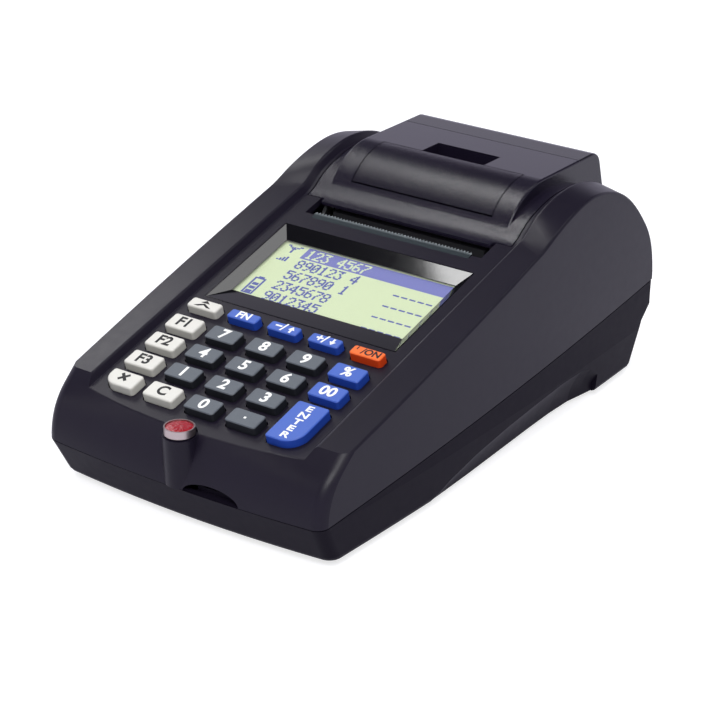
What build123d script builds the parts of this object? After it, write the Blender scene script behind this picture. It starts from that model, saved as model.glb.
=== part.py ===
"""Portable ticket register: a wedge-shaped till with keys, a display and a built-in receipt printer.

Millimetres. The model is drawn with +Z up, +Y to the rear, Z = 0 on the table and Y = 0 at the
nose, and is moved when it is written, so that its origin lies under the centre of the body.
Measures that end in _y, _z or _x are places, the others are sizes.
"""
from build123d import *
from math import acos, cos, pi, radians, sin, sqrt, tan
import os

os.makedirs("parts", exist_ok=True)

# ---------------------------------------------------------------- housing
body_width = 107.0                 # at the widest place of the sides' long bow
widest_y = 68.3
side_bow_radius = 1926.0
foot_height = 2.0                  # the underside of the shell stands this far above the table
shell_wall = 2.2
panel_slope = 15.7                 # degrees, the keypad and display panel
panel_nose_height = 29.72          # height that the panel's plane has at the nose
rail_slope = 16.6                  # degrees, the outer edge of the side rails
rail_nose_height = 30.2
rail_width = 9.2
ridge_rise = 2.2                   # the rails' inner ridge above the panel
ridge_ramp = 1.6                   # width of the slope from the panel up to the ridge
ridge_round = 1.0
edge_round = 0.8
crease_round = 0.8
# hump over the printer: places behind the platen and heights over the tear bar's edge
rail_hump = [(-3.5, 7.2), (8.5, 10.95), (20.5, 12.75), (30.5, 11.2), (44.5, 5.2), (57.5, -7.3)]
bed_hump = [(-0.5, 7.35), (6.0, 10.35), (20.5, 12.95), (44.5, 5.4), (57.5, -7.1)]
hollow_hump = [(8.5, 8.0), (20.5, 10.3), (30.5, 8.9), (44.5, 2.9), (57.5, -9.6)]
rail_straight_end = -13.5          # the straight slopes go over into the hump at these places
bed_straight_end = -8.0
rear_step = 0.8                    # the ridges reach this much further back than the edges
rear_parting_z = 33.2
parting_line = [(-8.0, 14.6), (196.0, 30.8)]
nose_parting_z = 15.2
groove = 0.35                      # shadow line round the parting of the two shells
lip_height = 1.5                   # the lower shell's locating lip inside the upper shell
lip_width = 1.0
lip_gap = 0.4
nose_corner = 4.2                  # plan radius of the front corners
nose_flare = 2.3                   # degrees, the rounded corners run out into the sides at this angle
inset_steps = 32                   # places at which the hump's outline is moved inward
# front wall of the upper shell: height, set-back in the middle, set-back at the corners
nose_levels = [(12.0, 0.0, 2.4), (16.0, 0.0, 2.4), (21.0, 1.2, 3.1), (24.5, 2.5, 4.4),
               (28.3, 4.3, 7.0), (31.4, 6.0, 10.4), (34.3, 7.9, 14.0), (38.0, 10.5, 22.0)]
# lower shell: height above its underside, front set-back in the middle and at the corners,
# narrowing of each side, set-back of the rear wall
base_levels = [(0.0, 7.8, 10.6, 2.6, 14.0), (0.5, 6.7, 9.5, 1.6, 13.0), (1.6, 5.9, 8.6, 1.15, 12.5),
               (13.3, 0.0, 2.4, 0.0, 8.1), (15.5, 0.0, 2.4, 0.0, 6.9), (19.8, 0.0, 2.4, 0.0, 1.4),
               (33.0, 0.0, 2.4, 0.0, 0.8)]
base_corner = 4.0
base_floor = 2.2
# finger scoops in the lower shell's sides: place along the body, top height, depth at the table
scoop_stations = [(54.0, 0.6, 0.0), (66.5, 6.6, 0.3), (80.0, 10.2, 0.9), (98.5, 12.5, 1.9),
                  (118.5, 13.9, 2.8), (131.5, 14.6, 3.1), (143.0, 14.5, 2.7), (149.0, 13.4, 1.6),
                  (155.0, 9.6, 0.6)]

# ---------------------------------------------------------------- case screws, feet, seal
screw_head_radius = 2.75
screw_head_height = 1.4
screw_radius = 1.45
screw_length = 12.0
screw_clearance = 0.05
screw_boss_radius = 3.5
screw_boss_x = 43.5
front_screw_y = 18.0
boss_joint_z = 12.0                # where the two shells' screw bosses meet
foot_radius = 5.0
foot_x = 36.0
front_foot_y = 34.0
seal_y = 3.5
seal_boss_z = 31.3                 # top of the moulded boss that carries the sealing cup
seal_boss_radius = 5.3
seal_boss_foot_radius = 6.4
seal_boss_lean = 2.2               # the boss's foot lies this much further back than its top
seal_neck_radius = 4.1             # of the neck that carries the cup above the boss
seal_neck_height = 0.5
seal_cup_radius = 4.65
seal_cup_height = 2.4
seal_cup_wall = 0.4
seal_wax_below_rim = 0.3
seal_post_radius = 2.2
seal_post_z = 24.0

# ---------------------------------------------------------------- memory card mouth in the nose
mouth_x = 13.6
mouth_half_width = 10.2
mouth_height = 3.6
card_size = (11.0, 15.0, 0.8)
card_y = 4.4
card_z = 17.3
card_clearance = 0.1

# ---------------------------------------------------------------- keypad
column_pitch = 15.6
row_pitch = 10.0
first_row_s = 15.8                 # along the slope from the nose to the front row
top_row_step = 10.2
key_stand = 2.6                    # key tops above the panel
key_travel = 1.2
key_gap = 0.4                      # round each cap in its opening
key_flange = 0.55
key_flange_thickness = 0.8
key_rest_gap = 0.3                 # below the panel's underside
key_corner = 1.0
key_edge = 0.3
soft_key_edge = 0.7
digit_cap = (11.3, 6.3)
soft_cap = (11.6, 6.7)
top_cap_depth = 4.0
soft_top_cap_depth = 4.5
enter_cap_depth = 17.4
enter_corner = 6.0
times_corner = 4.4
mat_thickness = 1.0
board_thickness = 1.6
dome_size = 2.6
dome_height = 1.1
dome_clearance = 0.5
keypad_rib = 1.4

# ---------------------------------------------------------------- display
bezel_size = (73.2, 43.3)
bezel_strip = 3.95                 # panel between the top row of keys and the bezel
bezel_depth = 4.0
bezel_flange = 1.9
bezel_flange_thickness = 1.0
bezel_gap = 0.1
view_size = (65.8, 29.4)
view_shift = 1.65                  # the view lies nearer to the bezel's rear edge
window_depth = 2.2
window_thickness = 0.8
window_margin = 0.8
lcd_size = (70.0, 34.0, 3.0)
lcd_gap = 0.2
lens_gap = 0.15                    # between the window and the display's glass

# ---------------------------------------------------------------- printer
paper_width = 57.6
tear_strip = 5.64                  # panel between the bezel and the tear bar
tear_to_platen = 18.3
platen_below_tear = 2.55
platen_radius = 5.0
platen_shaft_radius = 2.0
fit_gap = 0.02                     # between pieces that are fixed together
running_gap = 0.05                 # radial, shaft in bush
ear_gap = 0.7                      # roller end to the cover's ears
ear_thickness = 1.5
bush_wall = 1.5
hook_gap = 0.35
hook_thickness = 1.2
plate_gap = 0.4
plate_thickness = 1.2
gear_gap = 1.0                     # side plate to gear
gear_width = 2.4
gear_module = 0.55
pressure_angle = 25.0
gear_backlash = 0.10               # taken off each tooth's thickness
centre_extra = 0.06                # added to each centre distance
platen_teeth = 20
idler_teeth = 24
pinion_teeth = 12
pinion_direction = 217.0           # degrees, from the idler to the pinion
idler_stud_radius = 1.5
motor_radius = 6.0
motor_length = 14.0
motor_shaft_radius = 0.8
frame_z = 31.0
frame_front_gap = 1.8              # behind the tear bar's front edge
frame_rear_reach = 5.5             # behind the platen's axis
frame_front_height = 25.0
notch_half_width = 2.9
head_thickness = 2.5
head_gap = 0.4
head_top_rise = 1.6                # above the platen's axis
head_height = 11.0
head_tab_height = 2.0
spring_strip = 0.4
tear_bar_width = 61.2
tear_bar_depth = 3.0
tear_bar_slope = 24.0
tear_bar_thickness = 0.9
tear_bar_flange = 4.5
tooth_pitch = 1.2
tooth_depth = 0.9
slot_half_width = 34.3
slot_front_gap = 1.7

# ---------------------------------------------------------------- paper bay
roll_radius = 20.0
roll_gap = 1.0
bay_wall = 1.5
platen_to_bay = 28.5
bay_below_tear = 10.35
bay_deck_half_width = 44.0
bay_leg_x = 35.0

# ---------------------------------------------------------------- paper cover
cover_wall = 1.6
cover_side_gap = 0.4
bed_strip = 1.1                    # strip of shell between the cover and the ridge's ramp
hood_half_width = 34.9
hood_rise = 16.65                  # the hood's flat top above the tear bar's edge
hood_wall = 1.8
hood_front_radius = 23.0
platen_to_crest = 17.4             # where the hood's round front meets its flat top
hood_top_length = 34.4
hood_rear_lean = 75.0              # degrees, rear face of the hood
hood_corner = 5.2
hood_edge_round = 0.7
lip_round = 14.0                   # hollow sweep from the hood's front down to the panel
lip_reach = 9.6                    # the lip's tongue reaches this far in front of the platen
lip_side_reach = 7.9               # and its ends beside the tongue this far
lip_rim_drop = 1.1                 # lower edge of the tongue under the panel's surface
lip_tab_half_width = 33.0
hinge_above_bay = 6.0
hinge_behind_roll = 4.0
hinge_to_rear = 12.8               # hinge axis to the rear wall
barrel_radius = 4.6
barrel_gap = 0.45
hinge_pin_radius = 1.25
knuckle_x = 23.0
knuckle_width = 6.0
knuckle_radius = 3.0
knuckle_gap = 0.4
finger_slot_half_width = 12.2
finger_slot_length = 9.9
finger_slot_depth = 5.6

# ---------------------------------------------------------------- release flap and its latch
flap_half_width = 27.2
flap_gap = 0.35
flap_swing_room = 2.6
latch_before_crest = 12.6
latch_below_top = 8.6
latch_shaft_radius = 1.2
hook_eye = 1.7
cheek_radius = 2.0
cheek_thickness = 1.6
hook_reach = 5.9                   # latch shaft down to the catch pins
catch_radius = 1.0
catch_gap = 0.35

# ---------------------------------------------------------------- electronics
battery_cell_radius = 9.25
battery_length = 68.0
battery_gap = 1.25                 # to the paper bay's shelf
board_to_battery = 4.0
main_board_z = 13.2
main_board_half_width = 40.0
main_board_front_y = 7.5
standoff_radius = 2.5
standoff_x = 34.0
fiscal_block = (40.0, 14.0, 10.0)
fiscal_before_platen = 4.5
io_board_gap = 1.2                 # above the floor
io_board_half_width = 28.0
io_board_length = 26.5
io_board_post = 3.0
power_socket_x = -18.0
power_socket_size = (9.0, 14.0, 10.6)
power_bore_radius = 3.1
power_pin_radius = 1.0
data_socket_x = 12.0
data_socket_size = (15.4, 16.0, 11.0)
data_mouth = (11.8, 12.0, 7.0)
socket_gap = 0.3

# ---------------------------------------------------------------- derived places
overlap = 1.0                                        # how far cutting tools reach past a face
skin = 0.02                                          # keeps cutting tools off a flush face
half_width = body_width / 2
slope_sin = sin(radians(panel_slope))
slope_cos = cos(radians(panel_slope))
top_row_s = first_row_s + 3 * row_pitch + top_row_step
bezel_s = top_row_s + soft_top_cap_depth / 2 + bezel_strip + bezel_size[1] / 2
view_s = bezel_s + view_shift
tear_bar_y = (bezel_s + bezel_size[1] / 2) * slope_cos + tear_strip
tear_z = panel_nose_height + tear_bar_y * slope_sin / slope_cos
slot_front_y = tear_bar_y + slot_front_gap
platen_y = tear_bar_y + tear_to_platen
platen_z = tear_z - platen_below_tear
frame_y = tear_bar_y + frame_front_gap
frame_rear_y = platen_y + frame_rear_reach
head_top_z = platen_z + head_top_rise
bay_y = platen_y + platen_to_bay
bay_z = tear_z - bay_below_tear
hinge_y = bay_y + roll_radius + roll_gap + hinge_behind_roll
hinge_z = bay_z + hinge_above_bay
body_length = hinge_y + hinge_to_rear
bay_deck_rear_y = hinge_y - hinge_to_rear - overlap
middle_y = (body_length + seal_y - seal_boss_radius) / 2
rear_screw_y = hinge_y - 10.0
rear_foot_y = bay_y + 2.0
hood_top_z = tear_z + hood_rise
hood_crest_y = platen_y + platen_to_crest
hood_rear_y = hood_crest_y + hood_top_length
finger_slot_rear_y = hood_crest_y + finger_slot_length
lip_front_y = platen_y - lip_reach
lip_end_y = platen_y - lip_side_reach
lip_rim_z = panel_nose_height + lip_front_y * slope_sin / slope_cos - lip_rim_drop
latch_y = hood_crest_y - latch_before_crest
latch_z = hood_top_z - latch_below_top
catch_y = latch_y - 0.1
catch_z = latch_z - hook_reach
battery_y = frame_y - bay_wall / 2 - battery_gap - 2 * battery_cell_radius
main_board_rear_y = battery_y - 2 * battery_cell_radius - board_to_battery
fiscal_y = platen_y - fiscal_before_platen
socket_face_y = hinge_y - 0.5
io_board_front_y = socket_face_y - io_board_length
ceiling_z = hood_top_z + 2 * hood_front_radius       # above every piece
ear_x = paper_width / 2 + ear_gap                    # inner face of the cover's ears
hook_x = ear_x + ear_thickness + hook_gap
plate_x = hook_x + hook_thickness + plate_gap        # inner face of the frame's side plates
gear_x = plate_x + plate_thickness + gear_gap
cover_half_width = gear_x + gear_width + cover_side_gap + cover_wall
panel_half_width = cover_half_width + cover_side_gap + bed_strip
ridge_half_width = panel_half_width + ridge_ramp
base_z = foot_height
floor_z = base_z + base_floor
io_board_z = floor_z + io_board_gap
rib_depth = key_rest_gap + key_flange_thickness + key_travel + key_rest_gap
mat_top = -shell_wall - rib_depth                    # heights over the panel's plane
board_top = mat_top - mat_thickness
module_root = 1.15
module_tip = 0.85
idler_y = platen_y
idler_z = platen_z - gear_module * (platen_teeth + idler_teeth) / 2 - centre_extra
pinion_reach = gear_module * (idler_teeth + pinion_teeth) / 2 + centre_extra
pinion_y = idler_y + pinion_reach * cos(radians(pinion_direction))
pinion_z = idler_z + pinion_reach * sin(radians(pinion_direction))

panel = Plane(origin=(0, 0, panel_nose_height), x_dir=(1, 0, 0), z_dir=(0, -slope_sin, slope_cos))
side_view = Plane.YZ                                 # local x is Y, local y is Z


# ---------------------------------------------------------------- small helpers
def block(low, high):
    """A box between two corners."""
    size = [b - a for a, b in zip(low, high)]
    return Pos(*low) * Box(*size, align=(Align.MIN, Align.MIN, Align.MIN))


def panel_block(centre_s, width, depth, top, bottom):
    """A box square to the panel, between two heights over the panel's plane."""
    box = Box(width, depth, top - bottom, align=(Align.CENTER, Align.CENTER, Align.MIN))
    return panel * Pos(0, centre_s, bottom) * box


def side_prism(points, x_low, x_high):
    """A side-view polygon drawn out between two places across the body."""
    face = make_face(Polyline(*points, points[0]))
    return extrude(side_view.offset(x_low) * face, x_high - x_low)


def rod(radius, y, z, x_low, x_high):
    """A round bar that lies across the body."""
    disc = Pos(y, z) * Circle(radius)
    return extrude(side_view.offset(x_low) * disc, x_high - x_low)


def tube(radius, bore, y, z, x_low, x_high):
    return rod(radius, y, z, x_low, x_high) - rod(bore, y, z, x_low - overlap, x_high + overlap)


def post(radius, x, y, z_low, z_high):
    """A round upright post."""
    return Pos(x, y, z_low) * Cylinder(radius, z_high - z_low, align=(Align.CENTER, Align.CENTER, Align.MIN))


def both_sides(piece):
    """The piece and its mirror image on the other side of the body."""
    return piece + mirror(piece, Plane.YZ)


# ---------------------------------------------------------------- outer form of the housing
def side_x(y):
    """Half width of the body at one place along its bowed sides."""
    return half_width - side_bow_radius + sqrt(side_bow_radius ** 2 - (y - widest_y) ** 2)


def plan_side(sign, start_y, end_y, inset):
    """One bowed side of a plan outline."""
    return ThreePointArc(*[(sign * (side_x(y) - inset), y) for y in (start_y, (start_y + end_y) / 2, end_y)])


def plan_outline(front, rear, middle, inset):
    """Plan outline with bowed sides, a bowed or straight front and a straight rear."""
    half, rear_half = side_x(front) - inset, side_x(rear) - inset
    front_line = Line((-half, front), (half, front)) if middle is None else \
        ThreePointArc((-half, front), (0, middle), (half, front))
    rear_line = Line((rear_half, rear), (-rear_half, rear))
    right, left = plan_side(1, front, rear, inset), plan_side(-1, rear, front, inset)
    return make_face(front_line + right + rear_line + left)


def side_profile(nose_height, slope, straight_end, hump, rise, rear, inset=0.0):
    """Side outline of the housing: straight slope, hump, rear wall."""
    fall = tan(radians(slope))
    margin = nose_levels[-1][0] / 6
    end_y = platen_y + straight_end
    crest = [(platen_y + y, tear_z + z + rise) for y, z in hump]
    ends = [(1, fall), (0.08, -1)]
    crown = Spline((end_y, nose_height + end_y * fall), *crest, (rear, rear_parting_z), tangents=ends)
    if inset:
        moved = []
        for i in range(inset_steps + 1):
            place, along = crown @ (i / inset_steps), crown % (i / inset_steps)
            moved.append((place.X + along.Y * inset, place.Y - along.X * inset))
        crown = Spline(*moved, tangents=ends)
    end, foot = crown @ 0, crown @ 1
    start = (-margin, end.Y - (end.X + margin) * fall)
    top = Line(start, (end.X, end.Y))
    rest = Polyline((foot.X, foot.Y), (foot.X, 0), (-margin, 0), start)
    return make_face(top + crown + rest)


def bed_profile(inset=0.0, rise=0.0):
    """Side outline of the panel and, over the hump, of the bed that the cover lies in."""
    rear = body_length if rise else body_length - rear_step
    return side_profile(panel_nose_height + rise, panel_slope, bed_straight_end, bed_hump, rise, rear, inset)


def hollow_profile():
    """Side outline of the room inside the upper shell."""
    return side_profile(panel_nose_height - shell_wall / slope_cos, panel_slope, rail_straight_end,
                        hollow_hump, 0, body_length - rear_step - shell_wall)


def nose_section(height, middle, corner, inset):
    """Plan outline of everything behind the bowed front wall at one height, with round corners."""
    half, back = side_x(corner) + 2 * skin, nose_levels[-1][0] * 2
    back_half = half + (back - corner) * tan(radians(nose_flare))
    bow = ThreePointArc((-half, corner + inset), (0, middle + inset), (half, corner + inset))
    rest = Polyline((half, corner + inset), (back_half, back), (-back_half, back), (-half, corner + inset))
    outline = make_face(bow + rest)
    return Pos(0, 0, height) * fillet(outline.vertices().sort_by(Axis.Y)[:2], nose_corner)


def behind_front(inset):
    """Everything behind the bowed and sloping front wall."""
    sections = [nose_section(*level, inset) for level in nose_levels]
    top_z = nose_levels[-1][0]
    nose = loft([section.face() for section in sections])
    above_nose = extrude(sections[-1], ceiling_z - top_z)
    behind = block((-body_width, top_z * 1.6, 0), (body_width, body_length + 10, ceiling_z))
    return nose + above_nose + behind


def between_sides(inset):
    """Everything between the bowed sides."""
    return extrude(plan_outline(-2 * nose_corner, body_length + 10, None, inset - skin), ceiling_z)


def below_parting(drop):
    """Everything below the parting of the two shells, lowered by drop."""
    (start, start_z), (end, end_z) = parting_line
    points = [(start, start_z - drop), (end, end_z - drop), (end, -10), (start, -10)]
    return side_prism(points, -body_width, body_width)


def base_section(level, inset, height):
    """Plan outline of the lower shell at one height."""
    _, middle, corner, narrowing, rear_inset = level
    rear = body_length - rear_inset - inset
    outline = plan_outline(corner + inset, rear, middle + inset, narrowing + inset)
    corners = outline.vertices().sort_by(Axis.Y)
    outline = fillet(corners[:2], base_corner)
    rear_corners = outline.vertices().sort_by(Axis.Y)[-2:]
    return Pos(0, 0, height) * fillet(rear_corners, edge_round)


def base_form(inset, bottom):
    """The lower shell's outer form, or its hollow when it is inset and starts at its floor."""
    sections = [base_section(level, inset, base_z + level[0]) for level in base_levels if level[0] > bottom]
    if bottom > 0:
        low = [level for level in base_levels if level[0] <= bottom][-1]
        sections.insert(0, base_section(low, inset, base_z + bottom))
    else:
        sections.insert(0, base_section(base_levels[0], inset, base_z))
    return loft([section.face() for section in sections], ruled=True)


def scoop(extra):
    """One finger scoop, made larger all round by extra, to keep the shell's wall behind it."""
    sections = []
    for y, top, depth in scoop_stations:
        outside = side_x(y) + 2 * overlap
        inner = side_x(y) - base_levels[0][3] - depth - extra
        crown = (outside, top + base_z + extra)
        foot = (inner, base_z - overlap)
        middle = (inner + 0.42 * (outside - inner), base_z + 0.62 * (top + extra))
        curve = ThreePointArc(crown, middle, foot)
        rest = Polyline(foot, (outside, base_z - overlap), crown)
        reach = y - extra if y == scoop_stations[0][0] else y
        reach = y + extra if y == scoop_stations[-1][0] else reach
        sections.append(Plane.XZ.offset(-reach) * make_face(curve + rest))
    return loft([section.face() for section in sections], ruled=True)


def on_edge(edge, x, tolerance):
    """Whether an edge runs along the body at a given distance from its middle."""
    return all(abs(abs((edge @ t).X) - x) < tolerance for t in (0, 0.25, 0.5, 0.75, 1))


def upper_form():
    """The upper shell's outer form with its rails and rounded edges, still solid."""
    edge = side_profile(rail_nose_height, rail_slope, rail_straight_end, rail_hump, 0,
                        body_length - rear_step)
    stations = [(half_width + shell_wall, edge), (ridge_half_width, bed_profile(0, ridge_rise)),
                (panel_half_width, bed_profile())]
    left = [side_view.offset(-x) * profile for x, profile in stations]
    right = [side_view.offset(x) * profile for x, profile in reversed(stations)]
    form = loft([section.face() for section in left + right], ruled=True)
    top_z = nose_levels[4][0]
    form = fillet([e for e in form.edges() if on_edge(e, ridge_half_width, skin)
                   and (e @ 0.5).Z > top_z], ridge_round)
    form &= between_sides(0)
    outer_x = ridge_half_width + shell_wall
    form = fillet([e for e in form.edges() if min(abs((e @ 0).X), abs((e @ 1).X)) > outer_x
                   and (e @ 0.5).Z > top_z and abs((e @ 0).Y - (e @ 1).Y) > overlap], edge_round)
    form &= behind_front(0)
    crease = [e for e in form.edges() if abs((e @ 0.5).X) < 2 and e.length > panel_half_width
              and (e @ 0.5).Y < nose_levels[-1][1] and (e @ 0.5).Z > top_z]
    return fillet(crease, crease_round) - below_parting(0)


# ---------------------------------------------------------------- keys
def key_list():
    """Name, column, row centre along the slope, cap size, softness and odd corner of every key."""
    rows = [first_row_s + i * row_pitch for i in range(4)]
    top = rows[3] + top_row_step
    keys = []
    digits = [["key_0", "key_point"], ["key_1", "key_2", "key_3"],
              ["key_4", "key_5", "key_6"], ["key_7", "key_8", "key_9"]]
    for row, names in zip(rows, digits):
        first = 0 if len(names) == 2 else -1
        for i, name in enumerate(names):
            keys.append((name, first + i, row, digit_cap, False, None))
    whites = [("key_times", -2, rows[0]), ("key_clear", -1, rows[0]), ("key_f3", -2, rows[1]),
              ("key_f2", -2, rows[2]), ("key_f1", -2, rows[3])]
    for name, column, s in whites:
        keys.append((name, column, s, soft_cap, True, "left" if name == "key_times" else None))
    keys.append(("key_feed", -2, top, (soft_cap[0], soft_top_cap_depth), True, None))
    for name, column in (("key_function", -1), ("key_up", 0), ("key_down", 1), ("key_power", 2)):
        keys.append((name, column, top, (digit_cap[0], top_cap_depth), False, None))
    keys.append(("key_percent", 2, rows[3], digit_cap, False, None))
    keys.append(("key_subtotal", 2, rows[2], digit_cap, False, None))
    enter_s = rows[0] - digit_cap[1] / 2 + enter_cap_depth / 2 - row_pitch / 12
    keys.append(("key_enter", 2, enter_s, (digit_cap[0], enter_cap_depth), False, "right"))
    return keys


def cap_outline(size, odd_corner, grow):
    """Plan outline of a cap, or of its opening when grown."""
    width, depth = size[0] + 2 * grow, size[1] + 2 * grow
    outline = Rectangle(width, depth)
    odd = []
    if odd_corner == "left":
        odd = [v for v in outline.vertices() if v.X < 0 and v.Y < 0]
        outline = fillet(odd, times_corner + grow)
    if odd_corner == "right":
        odd = [v for v in outline.vertices() if v.X > 0 and v.Y < 0]
        outline = fillet(odd, enter_corner + grow)
    sharp = [v for v in outline.vertices() if abs(abs(v.X) - width / 2) < skin
             and abs(abs(v.Y) - depth / 2) < skin]
    return fillet(sharp, key_corner + grow)


def key(column, s, size, soft, odd_corner):
    """A cap with the flange that keeps it under the panel and the hollow over its dome."""
    under = -shell_wall - key_rest_gap - key_flange_thickness
    cap = extrude(Pos(0, 0, under) * cap_outline(size, odd_corner, 0), key_stand - under)
    rim = cap.edges().filter_by(lambda e: abs((e @ 0.5).Z - key_stand) < skin
                                and abs((e @ 0).Z - key_stand) < skin)
    cap = fillet(rim, soft_key_edge) if soft else chamfer(rim, key_edge)
    grow = 2 * (key_gap + key_flange)
    flange = Pos(0, 0, under) * Box(size[0] + grow, size[1] + grow, key_flange_thickness,
                                    align=(Align.CENTER, Align.CENTER, Align.MIN))
    hollow_depth = (dome_height + dome_clearance / 2 + key_travel - rib_depth
                    + key_flange_thickness + key_rest_gap)
    hollow_size = dome_size + 2 * dome_clearance
    hollow = Pos(0, 0, under) * Box(hollow_size, hollow_size, 2 * hollow_depth)
    return panel * Pos(column * column_pitch, s, 0) * (cap + flange - hollow)


def key_opening(column, s, size, odd_corner):
    outline = Pos(0, 0, -shell_wall * 2) * cap_outline(size, odd_corner, key_gap)
    return panel * Pos(column * column_pitch, s, 0) * extrude(outline, shell_wall * 4)


def key_mat():
    """Silicone mat with one dome under each key."""
    low_s, high_s = keypad_span()
    mat = panel_block((low_s + high_s) / 2, 2 * keypad_half_width(), high_s - low_s, mat_top, board_top)
    domes = [panel * Pos(column * column_pitch, s, board_top + mat_thickness / 2) *
             Box(dome_size, dome_size, mat_thickness / 2 + dome_height,
                 align=(Align.CENTER, Align.CENTER, Align.MIN))
             for _, column, s, _, _, _ in key_list()]
    return mat + domes


def keypad_half_width():
    return 2 * column_pitch + soft_cap[0] / 2 + key_gap + key_flange + key_rest_gap + keypad_rib + bezel_gap


def keypad_span():
    """Front and rear end of the keypad's mat and board along the slope."""
    reach = key_gap + key_flange + key_rest_gap
    front = first_row_s - soft_cap[1] / 2 - reach - 0.4
    top = first_row_s + 3 * row_pitch + top_row_step + soft_top_cap_depth / 2 + reach
    return front, top


def keypad_board():
    low_s, high_s = keypad_span()
    return panel_block((low_s + high_s) / 2, 2 * keypad_half_width(), high_s - low_s,
                       board_top, board_top - board_thickness)


# ---------------------------------------------------------------- display
def display_bezel():
    """Frame with long sloped inner faces, a flange under the panel and seats for lens and module."""
    width, depth = bezel_size
    frame = panel_block(bezel_s, width, depth, 0, -bezel_depth)
    flange_top = -shell_wall - skin
    frame += panel_block(bezel_s, width + 2 * bezel_flange, depth + 2 * bezel_flange,
                         flange_top, flange_top - bezel_flange_thickness)
    rim = width - 2 * key_edge, depth - 2 * key_edge
    outer = panel * Pos(0, bezel_s, 0) * Rectangle(*rim)
    inner = panel * Pos(0, view_s, -window_depth) * Rectangle(*view_size)
    frame -= loft([inner.face(), outer.face()], ruled=True)
    frame -= panel_block(view_s, *view_size, 0, -bezel_depth - overlap)
    window = [size + 2 * (window_margin + bezel_gap) for size in view_size]
    frame -= panel_block(view_s, *window, -window_depth, -window_depth - window_thickness - lens_gap)
    pocket_top = -window_depth - window_thickness - lens_gap
    frame -= panel_block(view_s, lcd_size[0] + 2 * lcd_gap, lcd_size[1] + 2 * lcd_gap,
                         pocket_top, -bezel_depth - overlap)
    return frame


def display_window():
    size = [length + 2 * window_margin for length in view_size]
    return panel_block(view_s, *size, -window_depth, -window_depth - window_thickness)


def lcd_module():
    top = -window_depth - window_thickness - lens_gap
    return panel_block(view_s, lcd_size[0], lcd_size[1], top, top - lcd_size[2])


# ---------------------------------------------------------------- shells
def screw_places():
    return [(x, y) for x in (-screw_boss_x, screw_boss_x) for y in (front_screw_y, rear_screw_y)]


def mouth_cut():
    """Arched mouth above the parting for the memory card."""
    arch = Pos(mouth_x, nose_parting_z) * Ellipse(mouth_half_width, mouth_height)
    return extrude(Plane.XZ.offset(overlap * 3) * arch, -(nose_levels[-1][1] + overlap * 3))


def knuckles():
    """The two brackets on the rear of the upper shell that hold the hinge pin."""
    reach = 9.0
    angle = -50.0
    arm = Rot(0, 0, angle) * Pos(reach / 2, 0) * Rectangle(reach, 4.0)
    eye = Circle(knuckle_radius)
    outline = Pos(hinge_y, hinge_z) * (arm + eye)
    low = knuckle_x - knuckle_width / 2
    return both_sides(extrude(side_view.offset(low) * outline, knuckle_width))


def seal_boss():
    """Boss on the nose that carries the sealing cup; its wider foot runs into the wall."""
    foot = Pos(0, seal_y + seal_boss_lean, nose_parting_z - overlap) * Circle(seal_boss_foot_radius)
    top = Pos(0, seal_y, seal_boss_z) * Circle(seal_boss_radius)
    return loft([foot.face(), top.face()], ruled=True)


def upper_shell():
    form = upper_form()
    hollow = extrude(side_view.offset(-half_width) * hollow_profile(), body_width)
    hollow = hollow & between_sides(shell_wall) & behind_front(shell_wall)
    inside = hollow & form
    shell = form - hollow

    boss_top = base_z + panel_nose_height + body_length
    pillars = Part() + [post(screw_boss_radius, x, y, boss_joint_z, boss_top) for x, y in screw_places()]
    shell += pillars & (inside + (hollow & below_parting(0)))
    shell += seal_boss() - below_parting(0)
    neck_room = post(seal_boss_radius + skin, 0, seal_y, seal_boss_z - seal_neck_height, ceiling_z)
    shell -= neck_room - post(seal_neck_radius, 0, seal_y, 0, ceiling_z)

    low_s, high_s = keypad_span()
    rib_x = keypad_half_width() - keypad_rib / 2
    rib = panel * Pos(rib_x, (low_s + high_s) / 2, mat_top) * Box(
        keypad_rib, high_s - low_s, rib_depth + shell_wall / 2,
        align=(Align.CENTER, Align.CENTER, Align.MIN))
    shell += both_sides(rib)
    shell += knuckles() & form

    for _, column, s, size, _, odd_corner in key_list():
        shell -= key_opening(column, s, size, odd_corner)
    shell -= panel_block(bezel_s, bezel_size[0] + 2 * bezel_gap, bezel_size[1] + 2 * bezel_gap,
                         shell_wall, -2 * shell_wall)

    bar_half = tear_bar_width / 2
    shell -= block((-bar_half - bezel_gap, tear_bar_y, floor_z),
                   (bar_half + bezel_gap, lip_end_y, ceiling_z))
    shell -= block((-slot_half_width, slot_front_y, floor_z), (slot_half_width, lip_end_y, ceiling_z))
    bed_half = cover_half_width + cover_side_gap
    bed_wall = block((bed_half, lip_end_y, bay_z + socket_gap), (bed_half + bay_wall, hinge_y, ceiling_z))
    shell += both_sides(bed_wall & inside)
    cover_bed = block((-bed_half, lip_end_y - bezel_gap * 3, boss_joint_z), (bed_half, hinge_y, ceiling_z))
    barrel_room = rod(barrel_radius + barrel_gap, hinge_y, hinge_z, -bed_half, bed_half)
    shell -= cover_bed - knuckles()
    shell -= barrel_room - knuckles()
    shell -= rod(hinge_pin_radius + fit_gap, hinge_y, hinge_z, -bed_half, bed_half)
    shell -= mouth_cut()

    for x, y in screw_places():
        shell -= post(screw_radius + screw_clearance, x, y, 0, floor_z + screw_head_height + screw_length)
    shell -= post(screw_radius + screw_clearance, 0, seal_y, 0, ceiling_z)
    shell -= post(seal_post_radius + bezel_gap, 0, seal_y, 0, seal_post_z + bezel_gap)
    shell -= post(seal_cup_radius + 2 * bezel_gap, 0, seal_y, seal_boss_z, ceiling_z)
    return shell


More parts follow.
